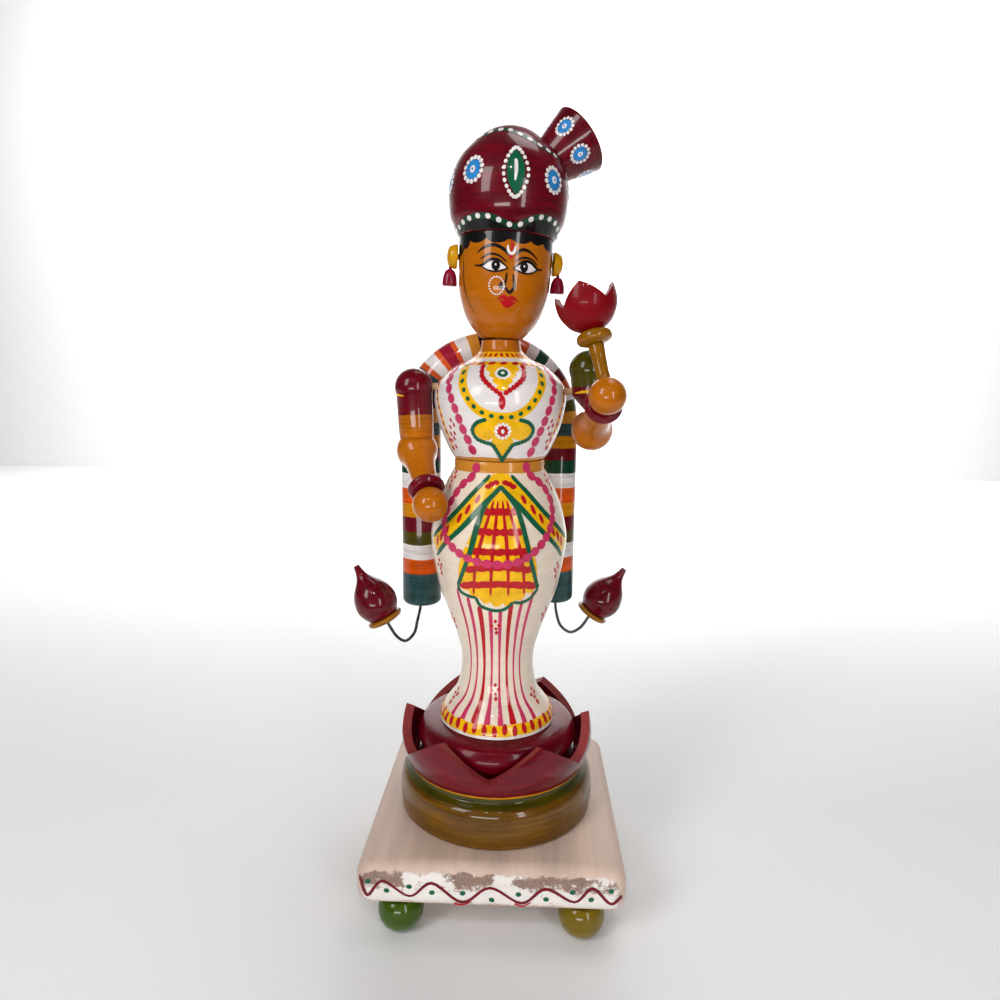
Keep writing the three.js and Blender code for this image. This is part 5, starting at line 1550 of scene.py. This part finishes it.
class DOLL_OT_make_buds(bpy.types.Operator):
    """Two lotus buds on bent iron wires, each with a turned calyx under it."""
    bl_idname = "doll.make_buds"
    bl_label = "Buds on wires"

    def execute(self, context):
        look = colours()
        metal = bpy.data.materials["peg_iron"]
        yaw = math.radians(SCARF_YAW)
        scarf_tip = span("scarf_end_left")[0]
        routes = {
            "right": ((-12.4, -23, -3.3), ((-1, -4.5, -9), (-1.8, -9, -13.4), (-5.2, -14, -15.7),
                                           (-8.8, -18.4, -12))),
            "left": ((18, 2.6, -9.8), ((1, 0.2, -9), (3.3, 0.7, -15), (8.4, 1.4, -18.4), (13.7, 2, -15.8))),
        }
        for name, side in (("right", -1), ("left", 1)):
            base, bends = routes[name]
            out = side * (SCARF_HALF_SPAN + 1)
            leave = Vector((SCARF_MIDDLE[0] + out * math.cos(yaw), SCARF_MIDDLE[1] + out * math.sin(yaw),
                            scarf_tip))
            lean = math.radians(BUD_LEAN[name])
            way = Vector((side * math.sin(lean), 0, math.cos(lean)))
            start = leave + Vector(base)
            bud_at = FIGURE @ aimed(start, way)
            points = [leave + Vector((0, 0, 6)), leave, leave - Vector((0, 0, 3))]
            points += [leave + Vector(bend) for bend in bends]
            points += [start - way * 1.2, start + way * 1.2, start + way * CALYX_HEIGHT,
                       start + way * (CALYX_HEIGHT + 6)]
            route = bpy.data.curves.new(f"wire_route_{name}", "CURVE")
            route.dimensions = "3D"
            route.bevel_depth = WIRE_RADIUS * MM
            route.bevel_resolution = 4
            route.use_fill_caps = True
            line = smooth([tuple(p) for p in points], 9)
            spline = route.splines.new("POLY")
            spline.points.add(len(line) - 1)
            for point, spot in zip(spline.points, line):
                point.co = (*(Vector(spot) * MM), 1)
            wire = bpy.data.objects.new(f"bent_wire_{name}", route)
            bpy.context.collection.objects.link(wire)
            choose(wire)
            bpy.ops.object.convert(target="MESH")
            wire = bpy.context.object
            wire.name = wire.data.name = f"bent_wire_{name}"
            bpy.ops.object.mode_set(mode="EDIT")
            bpy.ops.mesh.select_all(action="SELECT")
            bpy.ops.mesh.remove_doubles(threshold=WIRE_MERGE_METRES)
            face_outwards()
            smooth_shading(wire, EASED_SMOOTH)
            settle(wire, FIGURE)
            dress(wire, metal, "stand", "wire_steel", f"bud_wire_{name}")

            calyx = turned(f"turned_calyx_{name}", [(0, 0), *smooth([
                (1.95, 0), (CALYX_RADIUS * 0.85, CALYX_HEIGHT * 0.3), (CALYX_RADIUS, CALYX_HEIGHT * 0.75),
                (CALYX_RADIUS * 0.92, CALYX_HEIGHT)], 7), (0, CALYX_HEIGHT)], 80)
            lacquered(calyx, bud_at, f"calyx_lacquer_{name}", [(0, look.gold)], "stand", "yellow_lacquer",
                      f"bud_calyx_{name}", depth=0.4)
            foot = CALYX_HEIGHT + GAP
            bud = turned(f"turned_bud_{name}", [(0, foot), *smooth(along(foot, foot + BUD_HEIGHT, [
                (BUD_RADIUS * 0.72, 0), (BUD_RADIUS * 0.95, 0.16), (BUD_RADIUS, 0.32),
                (BUD_RADIUS * 0.8, 0.54), (BUD_RADIUS * 0.3, 0.78), (BUD_RADIUS * 0.13, 1)]), 8),
                                                (0, foot + BUD_HEIGHT)], 96)
            lacquered(bud, bud_at, f"bud_lacquer_{name}", [(0, look.maroon)], "stand", "maroon_lacquer",
                      f"bud_{name}", depth=0.5)
        return {"FINISHED"}


class DOLL_OT_make_arms(bpy.types.Operator):
    """Both arms: upper arm, forearm with its elbow ball, bangle and hand."""
    bl_idname = "doll.make_arms"
    bl_label = "Arms"

    def execute(self, context):
        look = colours()
        for name, arm in ARMS.items():
            upper_at, fore_at = shoulder_place(name), forearm_place(name)
            elbow = -arm["upper"]
            cup = ELBOW_RADIUS + GAP
            edge = math.sqrt(cup ** 2 - arm["rim"] ** 2)
            start = math.degrees(math.asin(edge / cup))
            upper = turned(f"banded_upper_arm_{name}", [
                *arc(cup, elbow, 90, start, 10), (arm["rim"] + 0.2, elbow + edge),
                (ARM_RADIUS, elbow + edge + 6.5), *arc(SHOULDER_RADIUS, arm["dome"], -20, 90, 18)], 96)
            if name == "right":
                rows = [(elbow, look.flesh), (-12.3, look.maroon)]
            else:
                # The left shoulder dome is olive lacquer, laid in the darker moss as painted shade from the
                # held flower above it.
                rows = [(elbow, look.flesh), (-7, look.maroon), (1.6, look.moss)]
            lacquered(upper, upper_at, f"upper_arm_{name}_bands", rows, f"{name}_upper_arm", "maroon_lacquer",
                      f"upper_arm_{name}", depth=0.35)
            strip = Brushwork(TurnedSurface(
                [(ARM_RADIUS, elbow + 12), (ARM_RADIUS, arm["dome"] - 4),
                 (SHOULDER_RADIUS, arm["dome"] - 1)], upper_at))
            if name == "right":
                strip.stroke("yellow", [(-150, -3.2), (-110, -3.6), (-70, -3.8), (-35, -4.4), (10, -5.4),
                                        (40, -5.8)],
                             [2.6, 3.2, 3, 2.2, 1.1, 0.4], "round")
            else:
                strip.stroke("yellow", [(-60, -1), (-20, -0.6), (20, -0.9), (60, -1.4)],
                             [0.4, 1.2, 1.1, 0.4], "round")
            strip.lay(f"arm_strip_{name}", f"{name}_upper_arm")

            back = arm["hand"] - BANGLE_BEHIND_HAND
            forearm = turned(f"turned_forearm_{name}", [
                *arc(ELBOW_RADIUS, 0, -90, 24, 24), *smooth([
                    (ELBOW_RADIUS * 0.8, 5.8), (6.6, 9.6), (5.9, back * 0.7), (5.4, back - GAP)], 8),
                    (0, back - GAP)], 96)
            lacquered(forearm, fore_at, f"forearm_lacquer_{name}", [(0, look.flesh)], f"{name}_forearm",
                      "flesh_lacquer", f"forearm_{name}", depth=0.14)
            bangle = turned(f"turned_bangle_{name}", [(0, back), *smooth([
                (BANGLE_RADIUS - 1.6, back), (BANGLE_RADIUS, back + BANGLE_WIDTH / 2),
                (BANGLE_RADIUS - 1.6, back + BANGLE_WIDTH)], 9), (0, back + BANGLE_WIDTH)], 88)
            lacquered(bangle, fore_at, f"bangle_lacquer_{name}", [(0, look.maroon)], f"{name}_forearm",
                      "maroon_lacquer", f"bangle_{name}", depth=0.4)
            flat = math.degrees(math.acos((BANGLE_BEHIND_HAND - BANGLE_WIDTH - GAP) / HAND_RADIUS))
            middle = arm["hand"]
            ball = arc(HAND_RADIUS, middle, flat - 90, 90, 26)
            hand = turned(f"turned_hand_{name}", [(0, ball[0][1]), *ball], 88)
            lacquered(hand, fore_at, f"hand_lacquer_{name}", [(0, look.flesh)], f"{name}_forearm",
                      "flesh_lacquer", f"hand_{name}", depth=0.14)
        return {"FINISHED"}


class DOLL_OT_make_held_lotus(bpy.types.Operator):
    """The lotus in the left hand: its stem, a ring and a flower sawn into four petals."""
    bl_idname = "doll.make_held_lotus"
    bl_label = "Held lotus"

    def execute(self, context):
        look = colours()
        place = lotus_place()
        stem_top, ring_height, ring_radius, radius, height, wall = 21.4, 5.4, 7.3, 12.6, 20, 2.4
        foot = stem_top + GAP
        flower_foot = foot + ring_height + GAP
        top = flower_foot + height
        stem = turned("turned_lotus_stem", [
            (0, 7), (3, 7), (2.7, HAND_RADIUS + 2), (3.0, HAND_RADIUS + 9), (3.4, stem_top), (0, stem_top)],
                      64)
        lacquered(stem, place, "stem_lacquer", [(0, look.gold)], "left_forearm", "olive_lacquer",
                  "lotus_stem", depth=0.35)
        ring = turned("turned_lotus_ring", [(0, foot), *smooth([
            (ring_radius - 2.6, foot), (ring_radius - 0.5, foot + ring_height * 0.2),
            (ring_radius, foot + ring_height * 0.5), (ring_radius - 0.5, foot + ring_height * 0.8),
            (ring_radius - 2.6, foot + ring_height)], 7), (0, foot + ring_height)], 80)
        lacquered(ring, place, "ring_lacquer", [(0, look.gold)], "left_forearm", "olive_lacquer",
                  "lotus_ring", depth=0.4)
        outside = smooth([(ring_radius - 3, flower_foot), (radius - 4, flower_foot + height * 0.14),
                          (radius - 0.8, flower_foot + height * 0.4), (radius, flower_foot + height * 0.66),
                          (radius - 0.8, top)], 9)
        inside = smooth([(radius - 0.8 - wall, top), (radius - wall, flower_foot + height * 0.66),
                         (radius - 1.2 - wall, flower_foot + height * 0.42),
                         (radius * 0.3, flower_foot + 4)], 9)
        bloom = turned("sawn_hand_lotus", [(0, flower_foot), *outside, *inside, (0, flower_foot + 4)], 96,
                       softened=False)
        bloom.data.materials.append(lacquer("lotus_lacquer", place, [(0, look.lotus)], depth=0.14,
                                            rough=(0.34, 0.48), coat=0.15))
        cut_petals(bloom, bpy.data.materials["sawn_petal_edges"], 4, 33, top, 10.5, radius * 0.92)
        settle(bloom, place)
        dress(bloom, None, "left_forearm", "maroon_lacquer", "hand_lotus")
        return {"FINISHED"}


# ---- the add-on's panel and classes ----------------------------------------------------------------------
OPERATORS = (
    DOLL_OT_make_stage,
    DOLL_OT_make_joinery,
    DOLL_OT_make_plank,
    DOLL_OT_make_plank_painting,
    DOLL_OT_make_feet,
    DOLL_OT_make_pedestal,
    DOLL_OT_make_skirt,
    DOLL_OT_make_skirt_painting,
    DOLL_OT_make_torso,
    DOLL_OT_make_torso_painting,
    DOLL_OT_make_head,
    DOLL_OT_make_face_painting,
    DOLL_OT_make_turban_painting,
    DOLL_OT_make_scarf,
    DOLL_OT_make_buds,
    DOLL_OT_make_arms,
    DOLL_OT_make_held_lotus,
)


class DOLL_PT_making(bpy.types.Panel):
    """Lists the making steps, sizes and colours in the sidebar."""
    bl_label = "Turned wooden doll"
    bl_idname = "DOLL_PT_making"
    bl_space_type = "VIEW_3D"
    bl_region_type = "UI"
    bl_category = "Doll"

    def draw(self, context):
        for key in DollSizes.__annotations__:
            self.layout.prop(context.scene.doll_sizes, key)
        for key in DollColours.__annotations__:
            self.layout.prop(context.scene.doll_colours, key)
        for operator in OPERATORS:
            self.layout.operator(operator.bl_idname)


CLASSES = (DollColours, DollSizes, *OPERATORS, DOLL_PT_making)


def register():
    for group in CLASSES:
        bpy.utils.register_class(group)
    bpy.types.Scene.doll_colours = PointerProperty(type=DollColours)
    bpy.types.Scene.doll_sizes = PointerProperty(type=DollSizes)


def unregister():
    del bpy.types.Scene.doll_sizes
    del bpy.types.Scene.doll_colours
    for group in reversed(CLASSES):
        bpy.utils.unregister_class(group)


def main():
    register()
    for operator in OPERATORS:
        getattr(bpy.ops.doll, operator.bl_idname.split(".")[1])()


if __name__ == "__main__":
    main()
